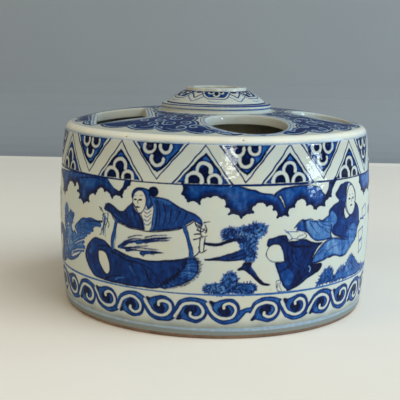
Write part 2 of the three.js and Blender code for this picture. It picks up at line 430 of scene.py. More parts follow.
def paint_scroll(p):
    """The wave scroll near the foot, and the pale line under it."""
    rng = np.random.RandomState(11)
    behind = np.arange(1, 2 * SCROLL_PAIRS - len(SCROLL_FRONT) + 1)
    gap = (SCROLL_FRONT[0] + ROUND_THE_DRUM - SCROLL_FRONT[-1]) / (len(behind) + 1)
    beyond = SCROLL_FRONT[-1] + behind * gap + rng.uniform(-0.5, 0.5, len(behind))
    middles = list(SCROLL_FRONT) + list(beyond)
    p.stroke([(13.2, 12.6), (15.2, 13.4), (17.6, 13.8)], 2.6, 0.5, layer="fill")
    for k, middle in enumerate(middles):
        wave_curl(p, middle, k % 2 == 1, k != SCROLL_BREAK + 1, k != SCROLL_BREAK)
    ring_line(p, 4.6, 1.3, 0.13)


# Scene of scholars under clouds, on the front of the drum
LEFT_CLOUD = [(-104, 64.5), (-97, 63), (-94, 61.5), (-93, 57), (-90, 55.5), (-86, 58), (-84, 62),
              (-80.5, 63.5), (-78, 63), (-76.6, 61.5), (-75.6, 61.8), (-74.8, 64), (-72.8, 63), (-72, 60.2),
              (-73.5, 59.6), (-70.8, 58.6), (-71.4, 56.6), (-69, 56), (-67.6, 54.8), (-66.2, 55.8),
              (-63, 56.2), (-63.6, 58), (-62, 60.2), (-58.6, 60.2), (-57.6, 61.6), (-56.4, 63.2),
              (-54.4, 64), (-52.6, 62.2), (-50.4, 62.4), (-48.4, 60.6), (-47.8, 59.8), (-47, 61),
              (-44, 61.4), (-42.4, 60.6), (-42.2, 62.6), (-40.4, 64.6), (-38.4, 66.4), (-37.4, 68.8)]
LEFT_CLOUD_TOP = [(-41, 68.8), (-42.2, 65.6), (-44, 63.6), (-47, 64.8), (-49.6, 66.8), (-51, 68.8),
                  (-66, 69), (-80, 68.4), (-92, 67.4), (-102, 66.8)]
MIDDLE_CLOUD = [(-13.9, 69), (-13.6, 64.4), (-11.8, 62.8), (-11, 61.2), (-7.4, 61.4), (-6.3, 60.5),
                (-6, 62.2), (-4, 63.4), (-1.6, 63.6), (0.6, 64.4), (2.2, 63.6), (3, 63), (4.2, 62.8),
                (5.2, 61.4), (5, 59.6), (6.8, 58.8), (7.2, 57.6), (6.4, 56.1), (9.4, 56.4), (11.6, 54.8),
                (13, 56), (15.2, 56.8), (16.6, 56.8), (15.8, 59), (17.4, 60.4), (20.2, 61.4), (21.8, 61),
                (23, 59.6), (24.4, 60.2), (25.6, 59.8), (26, 58), (27.8, 57.2), (27.8, 54.2), (29.6, 54.9),
                (32.6, 54.9), (32.8, 57.4), (34.4, 58.4), (35.8, 58.6), (36.4, 60.6), (38, 61.8),
                (40.8, 62), (42.2, 60.6), (42.4, 58.8), (45.8, 58.6), (46.6, 57.2), (47.6, 56.8),
                (48.4, 57.8), (51.6, 57.9), (52.6, 57.6), (53, 59.8), (54.6, 60.6), (56.6, 61.4),
                (56.8, 63.2), (58.4, 66), (60, 69)]
MIDDLE_CLOUD_TOP = [(55.6, 68.6), (54.6, 65.4), (53.2, 63), (51.4, 64.6), (50, 66.4), (46, 67.6), (40, 68),
                    (34, 67.8), (30, 67), (27.4, 65), (26, 64.2), (24, 65.2), (20, 65.6), (17.6, 66.8),
                    (14, 67.2), (12, 68.2), (10, 69)]
RIGHT_CLOUD = [(81.4, 69), (81.8, 65), (83.6, 63.6), (84.4, 61.4), (87, 60.2), (88.6, 58.4), (90.6, 60),
               (96, 60.4), (99, 58.6), (101, 61), (106, 62), (112, 63), (118, 61.4), (121, 64), (127, 66)]
RIGHT_CLOUD_TOP = [(130, 68.4), (112, 68.8), (96, 69)]


def oval(u, z, wide, tall, steps):
    """Points round an oval."""
    return [(u + wide * math.cos(a), z + tall * math.sin(a))
            for a in np.linspace(0, 2 * math.pi, steps + 1)[:-1]]


def scalloped(edge, rest):
    """The edge with every step bent a little into the shape that the edge and the rest close."""
    loop = edge + rest
    turning = sum(a[0] * b[1] - b[0] * a[1] for a, b in zip(loop, loop[1:] + loop[:1]))
    side = math.copysign(0.17, turning)
    bent = edge[:1]
    for a, b in zip(edge, edge[1:]):
        du, dz = b[0] - a[0], b[1] - a[1]
        for share in (0.25, 0.5, 0.75):
            out = side * 4 * share * (1 - share)
            bent.append((a[0] + share * du - out * dz, a[1] + share * dz + out * du))
        bent.append(b)
    return bent


def cloud(p, lower, upper, middle_tone=0.62):
    """A cloud bank that pools dark along its torn lower edge."""
    lower = scalloped(lower, upper)
    p.pooled(lower + upper, lower, 1.0, middle_tone, 3.2)
    p.stroke([(u, z + 0.35) for u, z in lower], 1.2, 0.95, smooth=False)


def paint_clouds(p):
    """The three cloud banks over the scene, with the folds in them."""
    cloud(p, LEFT_CLOUD, LEFT_CLOUD_TOP)
    cloud(p, MIDDLE_CLOUD, MIDDLE_CLOUD_TOP)
    cloud(p, RIGHT_CLOUD, RIGHT_CLOUD_TOP, 0.5)
    p.stroke([(60, 69.2), (57.8, 66.4), (56, 64), (54.4, 62)], 2.2, 0.95, 1.6, layer="fill")
    for line in ([(12, 68.1), (15, 67.1), (18, 66.2), (20, 65.5), (25.5, 64.6), (28, 63), (30, 60.5),
                  (31, 58.5)],
                 [(26.4, 64.4), (28.4, 66), (31, 67.2), (36, 67.9), (41, 68), (46, 67.5), (49.6, 66.3),
                  (51.4, 64.4)],
                 [(-72, 66), (-66, 67.2), (-58, 67.6), (-52, 66.6), (-48.6, 64.4), (-46, 62.4)],
                 [(-69.6, 63.6), (-69, 60), (-68, 58)]):
        p.stroke(line, 0.7, 0.93, 0.35)
    p.bare_stroke([(29, 63.6), (30.4, 61.4), (31, 59)], 0.6, 0.2)


def paint_rock(p):
    """The rock that the scholar leans on, with a hole worn through it and a furred right end."""
    root = flow([(-12, 38), (-12, 34.4), (-14, 31), (-16.5, 28.4), (-20, 25.6), (-25, 22.8)], steps=12)
    tips = flow([(-9.4, 38.2), (-5.4, 35.8), (-4.8, 31.6), (-7.4, 27.6), (-13, 24.2), (-21, 21.9)],
                steps=12)
    back = [tuple(0.12 * a + 0.88 * b) for a, b in zip(root[::-6], tips[::-6])]
    p.wash(list(map(tuple, root[::6])) + back, 0.52, smooth=False)
    rng = np.random.RandomState(9)
    for a, b in zip(root, tips):
        end = a + (b - a) * rng.uniform(0.9, 1.06)
        bend = (a + b) / 2 + (rng.uniform(-0.3, 0.3), 0.5)
        p.stroke([tuple(a), tuple(bend), tuple(end)], 0.75, rng.uniform(0.50, 0.84), 0.35, layer="fill")
    p.wash([(-66.6, 31), (-65, 35), (-62, 38.6), (-58, 40.8), (-53, 40.6), (-49.5, 38.6), (-46, 37.4),
            (-30, 36.5), (-14, 37.7), (-11.4, 37.6), (-11.4, 34), (-13.6, 30.4), (-17, 27.4), (-22, 23.6),
            (-26, 21.8), (-40, 21.4), (-54, 21.6), (-60, 22.6), (-64, 26)], 0.77)
    p.wash([(-57, 37.4), (-60.6, 33), (-60, 27.4), (-56, 24.2), (-50, 22.6), (-57, 22.6), (-62, 25.4),
            (-65, 30.4), (-63.2, 35), (-60, 38.2)], 0.66)
    for k in range(22):
        t = k / 21
        u, z = -66.2 + 2.4 * math.sin(t * 3.1) + 9 * t * t, 33 - 10.5 * t
        p.stroke([(u + 4.4, z - 0.8), (u + 1.6, z - 0.2), (u - 0.3, z + 0.7)], 0.6, 0.78, 0.25,
                 layer="fill")
    rng = np.random.RandomState(3)
    for k in range(46):
        t = rng.uniform(0, 1)
        u, z = -23 + 12 * t, 24 + 11.5 * t * t + rng.uniform(-1.4, 1.4)
        p.stroke([(u, z), (u + rng.uniform(-1.1, 0.6), z + rng.uniform(1.2, 2.2))], 0.7, 1.0, 0.3,
                 smooth=False)
    for points, ink in (([(-48, 36), (-40, 33.4), (-30, 31.6), (-24, 27)], 0.97),
                        ([(-38, 35), (-28, 32), (-20, 31)], 0.7),
                        ([(-46, 23.4), (-44, 24.4), (-41, 24.6)], 0.5),
                        ([(-52, 22.4), (-48, 24.6), (-43, 25.6)], 0.97),
                        ([(-38, 30.4), (-36.6, 28.4), (-35.4, 26.6)], 0.55),
                        ([(-57, 37), (-50, 37.8), (-46, 35)], 0.97),
                        ([(-30, 30), (-28.4, 25), (-24, 22.6)], 0.97),
                        ([(-62, 36), (-64, 31), (-61.5, 25)], 0.9)):
        p.stroke(points, 1.1, ink, 0.4)
    p.bare([(-56, 34.8), (-53, 35), (-50.8, 33.6), (-49.7, 30.4), (-49.6, 27), (-51, 25), (-52.8, 25.8),
            (-54.4, 28), (-56.2, 31)])
    p.outline([(-56.2, 34.9), (-53, 35.1), (-50.7, 33.7), (-49.5, 30.4), (-49.4, 26.8), (-51.1, 24.8),
               (-53, 25.6), (-54.6, 27.8), (-56.5, 31)], 0.4, 0.95)


def paint_left_plant(p):
    """Long leaves and pine boughs that spread from behind the rock to the left."""
    bough = [(-76.6, 42), (-72.6, 45.6), (-68.4, 48.2), (-63.4, 48.4), (-55, 48.2), (-54.6, 45.8),
             (-58.6, 45.4), (-60.6, 43), (-63, 41.2), (-70, 41), (-75, 37)]
    fan = [(-87.6, 38), (-84.6, 41.6), (-80, 42.6), (-77.6, 40.4), (-70, 41), (-64.6, 41.6), (-66.4, 38.8),
           (-67.8, 36), (-66.4, 34), (-70.6, 32), (-77, 30), (-86, 27.6), (-89, 28.6), (-84.6, 32),
           (-84.4, 36)]
    p.wash(bough, 0.52)
    p.wash(fan, 0.42)
    for k, (u, z, wide, tall) in enumerate(((-86.4, 48.6, 2.5, 3.0), (-81.4, 45.4, 3.2, 2.4),
                                            (-87.2, 43.2, 2.2, 3.0), (-85.6, 38.4, 2.9, 3.2),
                                            (-87.8, 33.2, 2.3, 3.0), (-84.2, 29.2, 3.0, 2.4),
                                            (-79.8, 36.6, 3.2, 2.6), (-88.6, 27.4, 2.2, 2.4),
                                            (-79.6, 47.6, 2.8, 1.8))):
        ring = oval(u, z, wide, tall, 10)
        p.fuzzy(ring, 0.49 + 0.05 * (k % 3), 1.0, 90 + k, 2)
    p.wash([(-86.6, 26.2), (-79.6, 27.6), (-73.6, 30), (-69.6, 31.6), (-75, 27.6), (-81, 25.4),
            (-85.6, 24.6)], 0.48)
    for k, (a, b) in enumerate((((-56, 48.0), (-68, 47)), ((-56, 46.6), (-72, 43.6)),
                                ((-60, 43.4), (-74, 41.4)), ((-62, 42.6), (-78, 37.6)),
                                ((-65, 40.6), (-80, 34.4)), ((-67, 37), (-83, 31.4)),
                                ((-67, 34.6), (-84, 28.8)), ((-68, 32.6), (-82, 27)))):
        middle = ((a[0] + b[0]) / 2, (a[1] + b[1]) / 2 + 1.3)
        p.stroke([a, middle, b], 1.5, 0.62 if k < 3 else 0.52, 0.4)
    for a, b in (((-64, 38.8), (-76, 34.2)), ((-68, 33.2), (-80, 29.6))):
        p.bare_stroke([a, ((a[0] + b[0]) / 2, (a[1] + b[1]) / 2 + 0.7), b], 0.6, 0.3)
    p.bare_stroke([(-76.6, 42.2), (-74.6, 40.4), (-73.6, 39)], 1.1, 0.4)
    p.stroke([(-53.6, 48.4), (-57, 48.3), (-61, 47.8), (-66, 46.6)], 1.1, 0.9, 0.4)


def small_face(p, middle, half_wide, half_high, turn):
    """A plain painted face: a white oval, with brows, eyes, nose and mouth as a few dabs of the brush."""
    u, z = middle
    ring = oval(u, z, half_wide, half_high, 16)
    p.bare(ring)
    p.outline(ring, 0.55, 0.82)
    for side in (-0.42, 0.36):
        eye = u + half_wide * (side + 0.18 * turn)
        p.stroke([(eye - 0.4, z + 0.7), (eye + 0.4, z + 0.7)], 1.0, 0.97, 0.7)
        p.stroke([(eye - 0.7, z + 2.5), (eye + 0.6, z + 2.6)], 0.35, 0.6, 0.2)
    nose = u + half_wide * 0.2 * turn
    p.stroke([(nose, z + 0.6), (nose + 0.35 * turn, z - 0.8), (nose - 0.2 * turn, z - 1.2)], 0.5, 0.85, 0.4)
    p.stroke([(nose - 0.7, z - 2.6), (nose + 0.6, z - 2.6)], 0.9, 0.95, 0.5)


def paint_scholar(p):
    """The scholar who holds an open scroll over the rock."""
    p.wash([(-36.6, 59.4), (-38.6, 57.8), (-41.4, 55.2), (-44, 55.2), (-46.4, 56.4), (-49.2, 57.8),
            (-51.2, 57.2), (-52.6, 55), (-51.6, 54), (-48.6, 53), (-46, 51.2), (-44.6, 49.8), (-38, 48),
            (-31, 47.4), (-29.6, 50), (-31, 54), (-33, 58)], 0.80)
    p.wash([(-27.4, 62), (-25, 62.8), (-22.6, 62.6), (-19.4, 61.6), (-16, 59.8), (-12.4, 58), (-9, 57),
            (-7, 56), (-5.4, 54.4), (-4.4, 52), (-6, 51.6), (-8.6, 53.2), (-10.6, 51.6), (-13.6, 49.9),
            (-18.6, 48.2), (-25, 47.8), (-28.4, 47.6), (-27, 52), (-26.4, 57)], 0.70)
    p.wash([(-24, 62.2), (-21, 62), (-18.6, 60.4), (-21.4, 59.4), (-24, 60)], 0.62)
    p.wash([(-22, 49.4), (-16, 51), (-12, 52.4), (-13, 54), (-17, 53.6), (-23, 52)], 0.66)
    for points in ([(-24.6, 61), (-23.6, 56), (-23.6, 50)], [(-21.6, 59.6), (-20.8, 55), (-22, 49.6)],
                   [(-18, 58), (-18.6, 54), (-20, 50.4)], [(-14.6, 57), (-15.6, 54), (-17, 51.4)],
                   [(-11.6, 56.4), (-12.8, 53.6)], [(-40, 55), (-38.4, 51.6), (-38, 49)],
                   [(-44, 54.4), (-42, 51.4)], [(-36.4, 56.6), (-34.4, 52), (-33, 48.6)],
                   [(-33.4, 55), (-32, 51)]):
        p.stroke(points, 0.75, 0.99, 0.3)
    for points in ([(-22.4, 60), (-21.6, 56.4)], [(-26, 54), (-25.2, 50)], [(-16.6, 56.6), (-17, 54.6)],
                   [(-46, 53), (-42, 50.8)], [(-36.8, 54.6), (-36, 51)]):
        p.stroke(points, 0.6, 0.58, 0.25)
    p.bare([(-33.4, 56), (-31.6, 58.6), (-28.6, 60.6), (-27, 60), (-26.6, 56), (-27.2, 50.6), (-28.2, 47.8),
            (-30.2, 48), (-31.4, 52)])
    p.stroke([(-30.4, 48.2), (-31.6, 52.4), (-32.6, 55.4)], 0.45, 0.9)
    for k in range(5):
        z = 50.4 + 1.75 * k
        p.stroke([(-31 + 0.2 * k, z + 0.2), (-29.4, z - 0.5), (-28, z + 0.4), (-27.3, z + 1.2)], 0.55, 0.6,
                 0.3)
    p.stroke([(-26.6, 60), (-25.8, 56), (-26.2, 51), (-27.6, 47.8)], 0.9, 0.5)
    p.stroke([(-27, 60), (-26.4, 56), (-26.9, 51), (-28.1, 47.8)], 0.35, 0.93)
    p.stroke([(-25.2, 60), (-24.6, 56), (-25.2, 51), (-26.6, 47.8)], 0.45, 0.98)
    p.wash([(-36.8, 61.6), (-36.4, 64.2), (-34.4, 66), (-31.4, 66), (-28.6, 65.4), (-26.2, 63.4), (-26, 61),
            (-27.2, 58.2), (-28.8, 57), (-30.4, 59)], 0.58)
    p.wash([(-28.9, 65), (-28.2, 66.4), (-26.4, 67), (-24.8, 66.2), (-24.2, 64.6), (-25, 63), (-26.8, 62.6),
            (-28.4, 63.4)], 0.99)
    p.stroke([(-28.6, 63), (-27.6, 60.6), (-28.2, 58)], 1.0, 0.92, 0.5)
    small_face(p, (-33.3, 60.0), 3.3, 5.0, -0.6)
    p.stroke([(-36.8, 61.4), (-36.3, 64.2), (-34.2, 65.9), (-31.4, 65.9), (-29.2, 65)], 0.8, 0.96, 0.5)
    p.stroke([(-36.2, 58.6), (-35, 57), (-34.2, 55.8)], 0.8, 0.85, 0.4)
    paint_open_scroll(p)


def paint_open_scroll(p):
    """The open scroll, its rollers and the hands that hold it."""
    p.bare([(-51, 52), (-47.6, 51.4), (-44.8, 49.7), (-38, 48), (-30, 47.3), (-22, 47.8), (-13.4, 50),
            (-11.4, 51.6), (-9.4, 52.8), (-7.6, 51), (-6.8, 46), (-6, 41), (-6.6, 38.6), (-9.4, 37.2),
            (-20, 35), (-30, 34.2), (-40, 35.4), (-46.4, 37.6), (-49.4, 39.4), (-51.6, 44), (-53.4, 48)],
           smooth=False)
    p.stroke([(-51.6, 57), (-48, 53), (-45.6, 50.2), (-41, 48.6), (-36, 47.7), (-30, 47.3), (-23, 47.7),
              (-18, 48.6), (-13.4, 50), (-10.4, 51.6), (-8.6, 52.9)], 0.6, 0.97)
    p.stroke([(-46, 37.5), (-40, 35.5), (-30, 34.2), (-20, 35), (-10, 37.2), (-7.4, 38.2), (-5.8, 40)], 0.6,
             0.95)
    p.stroke([(-44.9, 50), (-46, 46), (-47.2, 41), (-47.4, 37.6)], 1.9, 0.62)
    p.stroke([(-44.2, 50), (-45.2, 46), (-45.7, 41), (-45.9, 37.6)], 0.35, 0.93)
    p.stroke([(-45.8, 50), (-46.9, 46), (-48.1, 41), (-48.3, 38.4)], 0.4, 0.93)
    p.stroke([(-12.4, 50.6), (-11, 46), (-9.7, 41), (-9.2, 37.6)], 1.7, 0.6)
    p.stroke([(-13.2, 50.2), (-11.8, 46), (-10.6, 41), (-10.1, 37.4)], 0.35, 0.93)
    p.stroke([(-11.4, 51.2), (-10.2, 46), (-8.9, 41), (-8.3, 38)], 0.35, 0.85)
    for points, width in (([(-43.6, 38.6), (-40.6, 41.2), (-36, 43), (-32, 43.6)], 1.2),
                          ([(-42, 39.4), (-38, 41.4), (-33, 42.4), (-27, 43.6)], 1.7),
                          ([(-34, 42), (-29, 43.4), (-24, 44.6), (-18, 45.4)], 1.7),
                          ([(-30, 42.4), (-26, 43.2), (-21.6, 43.8), (-18.8, 44.4)], 1.1),
                          ([(-38.6, 43.4), (-34.6, 44.8), (-31.6, 45.1)], 0.5),
                          ([(-30, 44.6), (-26, 45.6), (-20, 46.2)], 0.6),
                          ([(-42.6, 38.2), (-38, 38.8), (-33.6, 40.2), (-29, 40.8)], 0.8),
                          ([(-39.6, 37.6), (-35, 38.4), (-30, 38.2)], 1.1),
                          ([(-31.6, 37.2), (-28, 38), (-24.6, 38.4), (-21.6, 38.5)], 1.8),
                          ([(-38, 39), (-33, 39.6), (-28.4, 39.4), (-24, 39.6)], 0.7),
                          ([(-31, 36), (-29, 37.4), (-26, 37.2)], 0.5)):
        p.stroke(points, width * 1.25, 0.58, 0.4, layer="fill")
    for points in ([(-41.6, 39.8), (-39, 41.2)], [(-31, 43), (-27, 44)], [(-27, 38), (-22.6, 38.4)],
                   [(-40.6, 38.4), (-37, 39)], [(-24, 44.4), (-20, 45)]):
        p.stroke(points, 1.1, 0.94, 0.6)
    for points in ([(-54.6, 55), (-53.6, 53.4), (-52.6, 51.8), (-53.4, 50), (-52.4, 48.2), (-53.4, 45)],
                   [(-55.6, 55.2), (-54.6, 53.6)], [(-53.6, 51.6), (-51.4, 52.6)],
                   [(-53.8, 45.4), (-54.4, 43), (-55.4, 42.6)],
                   [(-50, 53), (-50.4, 50), (-51.6, 46), (-51.8, 42)],
                   [(-51.2, 50.4), (-49.4, 48.2), (-50, 46.6)], [(-52.6, 48), (-51, 47.4)],
                   [(-6, 42), (-5.6, 39.8), (-4.8, 39.4), (-4, 40.2)], [(-5.7, 46), (-5.6, 42), (-5.8, 40)],
                   [(-3.6, 46), (-3.8, 42), (-4.2, 40)], [(-3.8, 40), (-2.6, 40.8)]):
        p.stroke(points, 0.62, 0.93, 0.4)
    p.stroke([(-52, 51), (-52.4, 47), (-53, 43)], 1.3, 0.3, 0.8, layer="fill")
    for points in ([(-8, 53.2), (-7.6, 51), (-6.4, 49.6)], [(-7.6, 51.6), (-5.4, 51), (-4.4, 52.2)],
                   [(-4, 52.6), (-1.6, 53.2)], [(-6.6, 50.6), (-4.6, 50), (-3, 49.2), (-3.4, 48)],
                   [(-7.2, 49.4), (-5, 48.8), (-3.6, 50.4)],
                   [(-8, 47.4), (-6, 47.8), (-4.6, 46.6), (-2.6, 47)],
                   [(-8.2, 45.2), (-6.4, 45.8), (-5, 47.2)], [(-5, 52), (-5.6, 49), (-5, 46)],
                   [(-3.4, 51.6), (-2.8, 49.6), (-4, 48.4)]):
        p.stroke(points, 0.68, 0.93, 0.4)


def tuft(p, middle, spread, tone, count, seed, needle=0.9):
    """A patch of foliage: a furred wash with dark needles dabbed over it."""
    u, z = middle
    rng = np.random.RandomState(seed)
    ring = []
    for k in range(14):
        a = 2 * math.pi * k / 14
        far = 0.92 + rng.uniform(-0.1, 0.1)
        ring.append((u + spread[0] * far * math.cos(a), z + spread[1] * far * math.sin(a)))
    p.fuzzy(ring, tone - 0.08, 1.1, seed, 2)
    for _ in range(int(count * 1.5)):
        a, r = rng.uniform(0, 2 * math.pi), math.sqrt(rng.uniform(0, 1)) * 0.92
        at = (u + spread[0] * r * math.cos(a), z + spread[1] * r * math.sin(a))
        b = rng.uniform(0, math.pi)
        reach = (needle * 0.5 * math.cos(b), needle * 0.5 * math.sin(b))
        p.stroke([(at[0] - reach[0], at[1] - reach[1]), (at[0] + reach[0], at[1] + reach[1])], 0.75, 0.88,
                 0.4, smooth=False)


def paint_pine(p):
    """The bent pine between the two scholars."""
    for ring, seed in (([(3.8, 47.4), (5, 49.8), (7.6, 50.4), (10, 49.8), (12.4, 48), (11, 45.6),
                         (7.6, 45.4), (5, 45.8)], 40),
                       ([(10, 49.4), (12.4, 50.8), (15, 51.2), (18, 52.2), (21, 51.8), (22.6, 50.2),
                         (22, 48), (19.6, 46.4), (16, 46), (12, 46)], 41),
                       ([(10.6, 46.4), (14, 47.4), (18, 46.6), (18.6, 44), (18.2, 40), (17.4, 36.6),
                         (14.6, 35.8), (12.8, 38), (11.8, 41)], 42)):
        p.fuzzy(ring, 0.50, 1.2, seed, 1)
    p.stroke([(-3.4, 43.4), (0, 43.2), (2.4, 43.4), (5, 44.2), (9, 45.4), (12, 45)], 1.3, 0.92, 1.8,
             layer="fill")
    p.stroke([(-3.4, 43.4), (0, 43.1), (2.4, 43.2), (5, 44)], 0.5, 0.99, 0.5)
    p.wash([(-3.4, 36.2), (-2.6, 37), (2, 37.8), (7, 39.4), (11, 40.8), (13.4, 41.4), (14.6, 38),
            (13, 36.4), (9, 36), (3, 35.9)], 0.76)
    p.stroke([(-3.4, 36.5), (0, 36.6), (4, 37)], 0.9, 0.99, 0.5)
    p.stroke([(8, 37.4), (11, 38.4), (14, 39)], 0.9, 0.95, 0.4)
    p.wash([(10.4, 32.4), (12.4, 33.6), (13.4, 35.2), (16.6, 35.4), (16.8, 33.4), (18.4, 31), (20.4, 28.4),
            (22.6, 26.2), (25.4, 24.9), (24.4, 24.2), (21.4, 25), (18.4, 27.4), (15.8, 30), (13.4, 31.8),
            (11, 31.6)], 0.93)
    p.stroke([(16.4, 33), (17.6, 31), (19.4, 28.6)], 1.0, 0.72, 0.5)
    dabs = (((6.6, 48), (2.8, 2.2), 26, 1), ((11.6, 48.2), (3.6, 2.4), 26, 2),
            ((17.6, 49.8), (4.4, 2.3), 34, 3), ((15.4, 44.8), (3, 3), 26, 4),
            ((15.4, 40.2), (2.8, 3.6), 28, 5), ((11.4, 45.6), (2.6, 1.8), 12, 6))
    for middle, spread, count, seed in dabs:
        rng = np.random.RandomState(seed)
        for _ in range(int(count * 1.4)):
            a, r = rng.uniform(0, 2 * math.pi), math.sqrt(rng.uniform(0, 1))
            u, z = middle[0] + spread[0] * r * math.cos(a), middle[1] + spread[1] * r * math.sin(a)
            b = rng.uniform(0.2, 2.6)
            p.stroke([(u, z), (u + 0.8 * math.cos(b), z + 0.8 * math.sin(b))], 0.75, 0.88, 0.4,
                     smooth=False)


def paint_bush(p, middle, half_wide, peak, seed):
    """A low bush of dabbed leaves on the ground line."""
    tuft(p, (middle - half_wide * 0.55, 23.4), (half_wide * 0.5, 2.6), 0.58, 24, seed)
    tuft(p, (middle + half_wide * 0.5, 23.6), (half_wide * 0.52, 2.7), 0.64, 24, seed + 1)
    tuft(p, (middle - half_wide * 0.05, 23.4 + (peak - 24) * 0.42), (half_wide * 0.34, (peak - 21.4) * 0.5),
         0.60, 30, seed + 2)


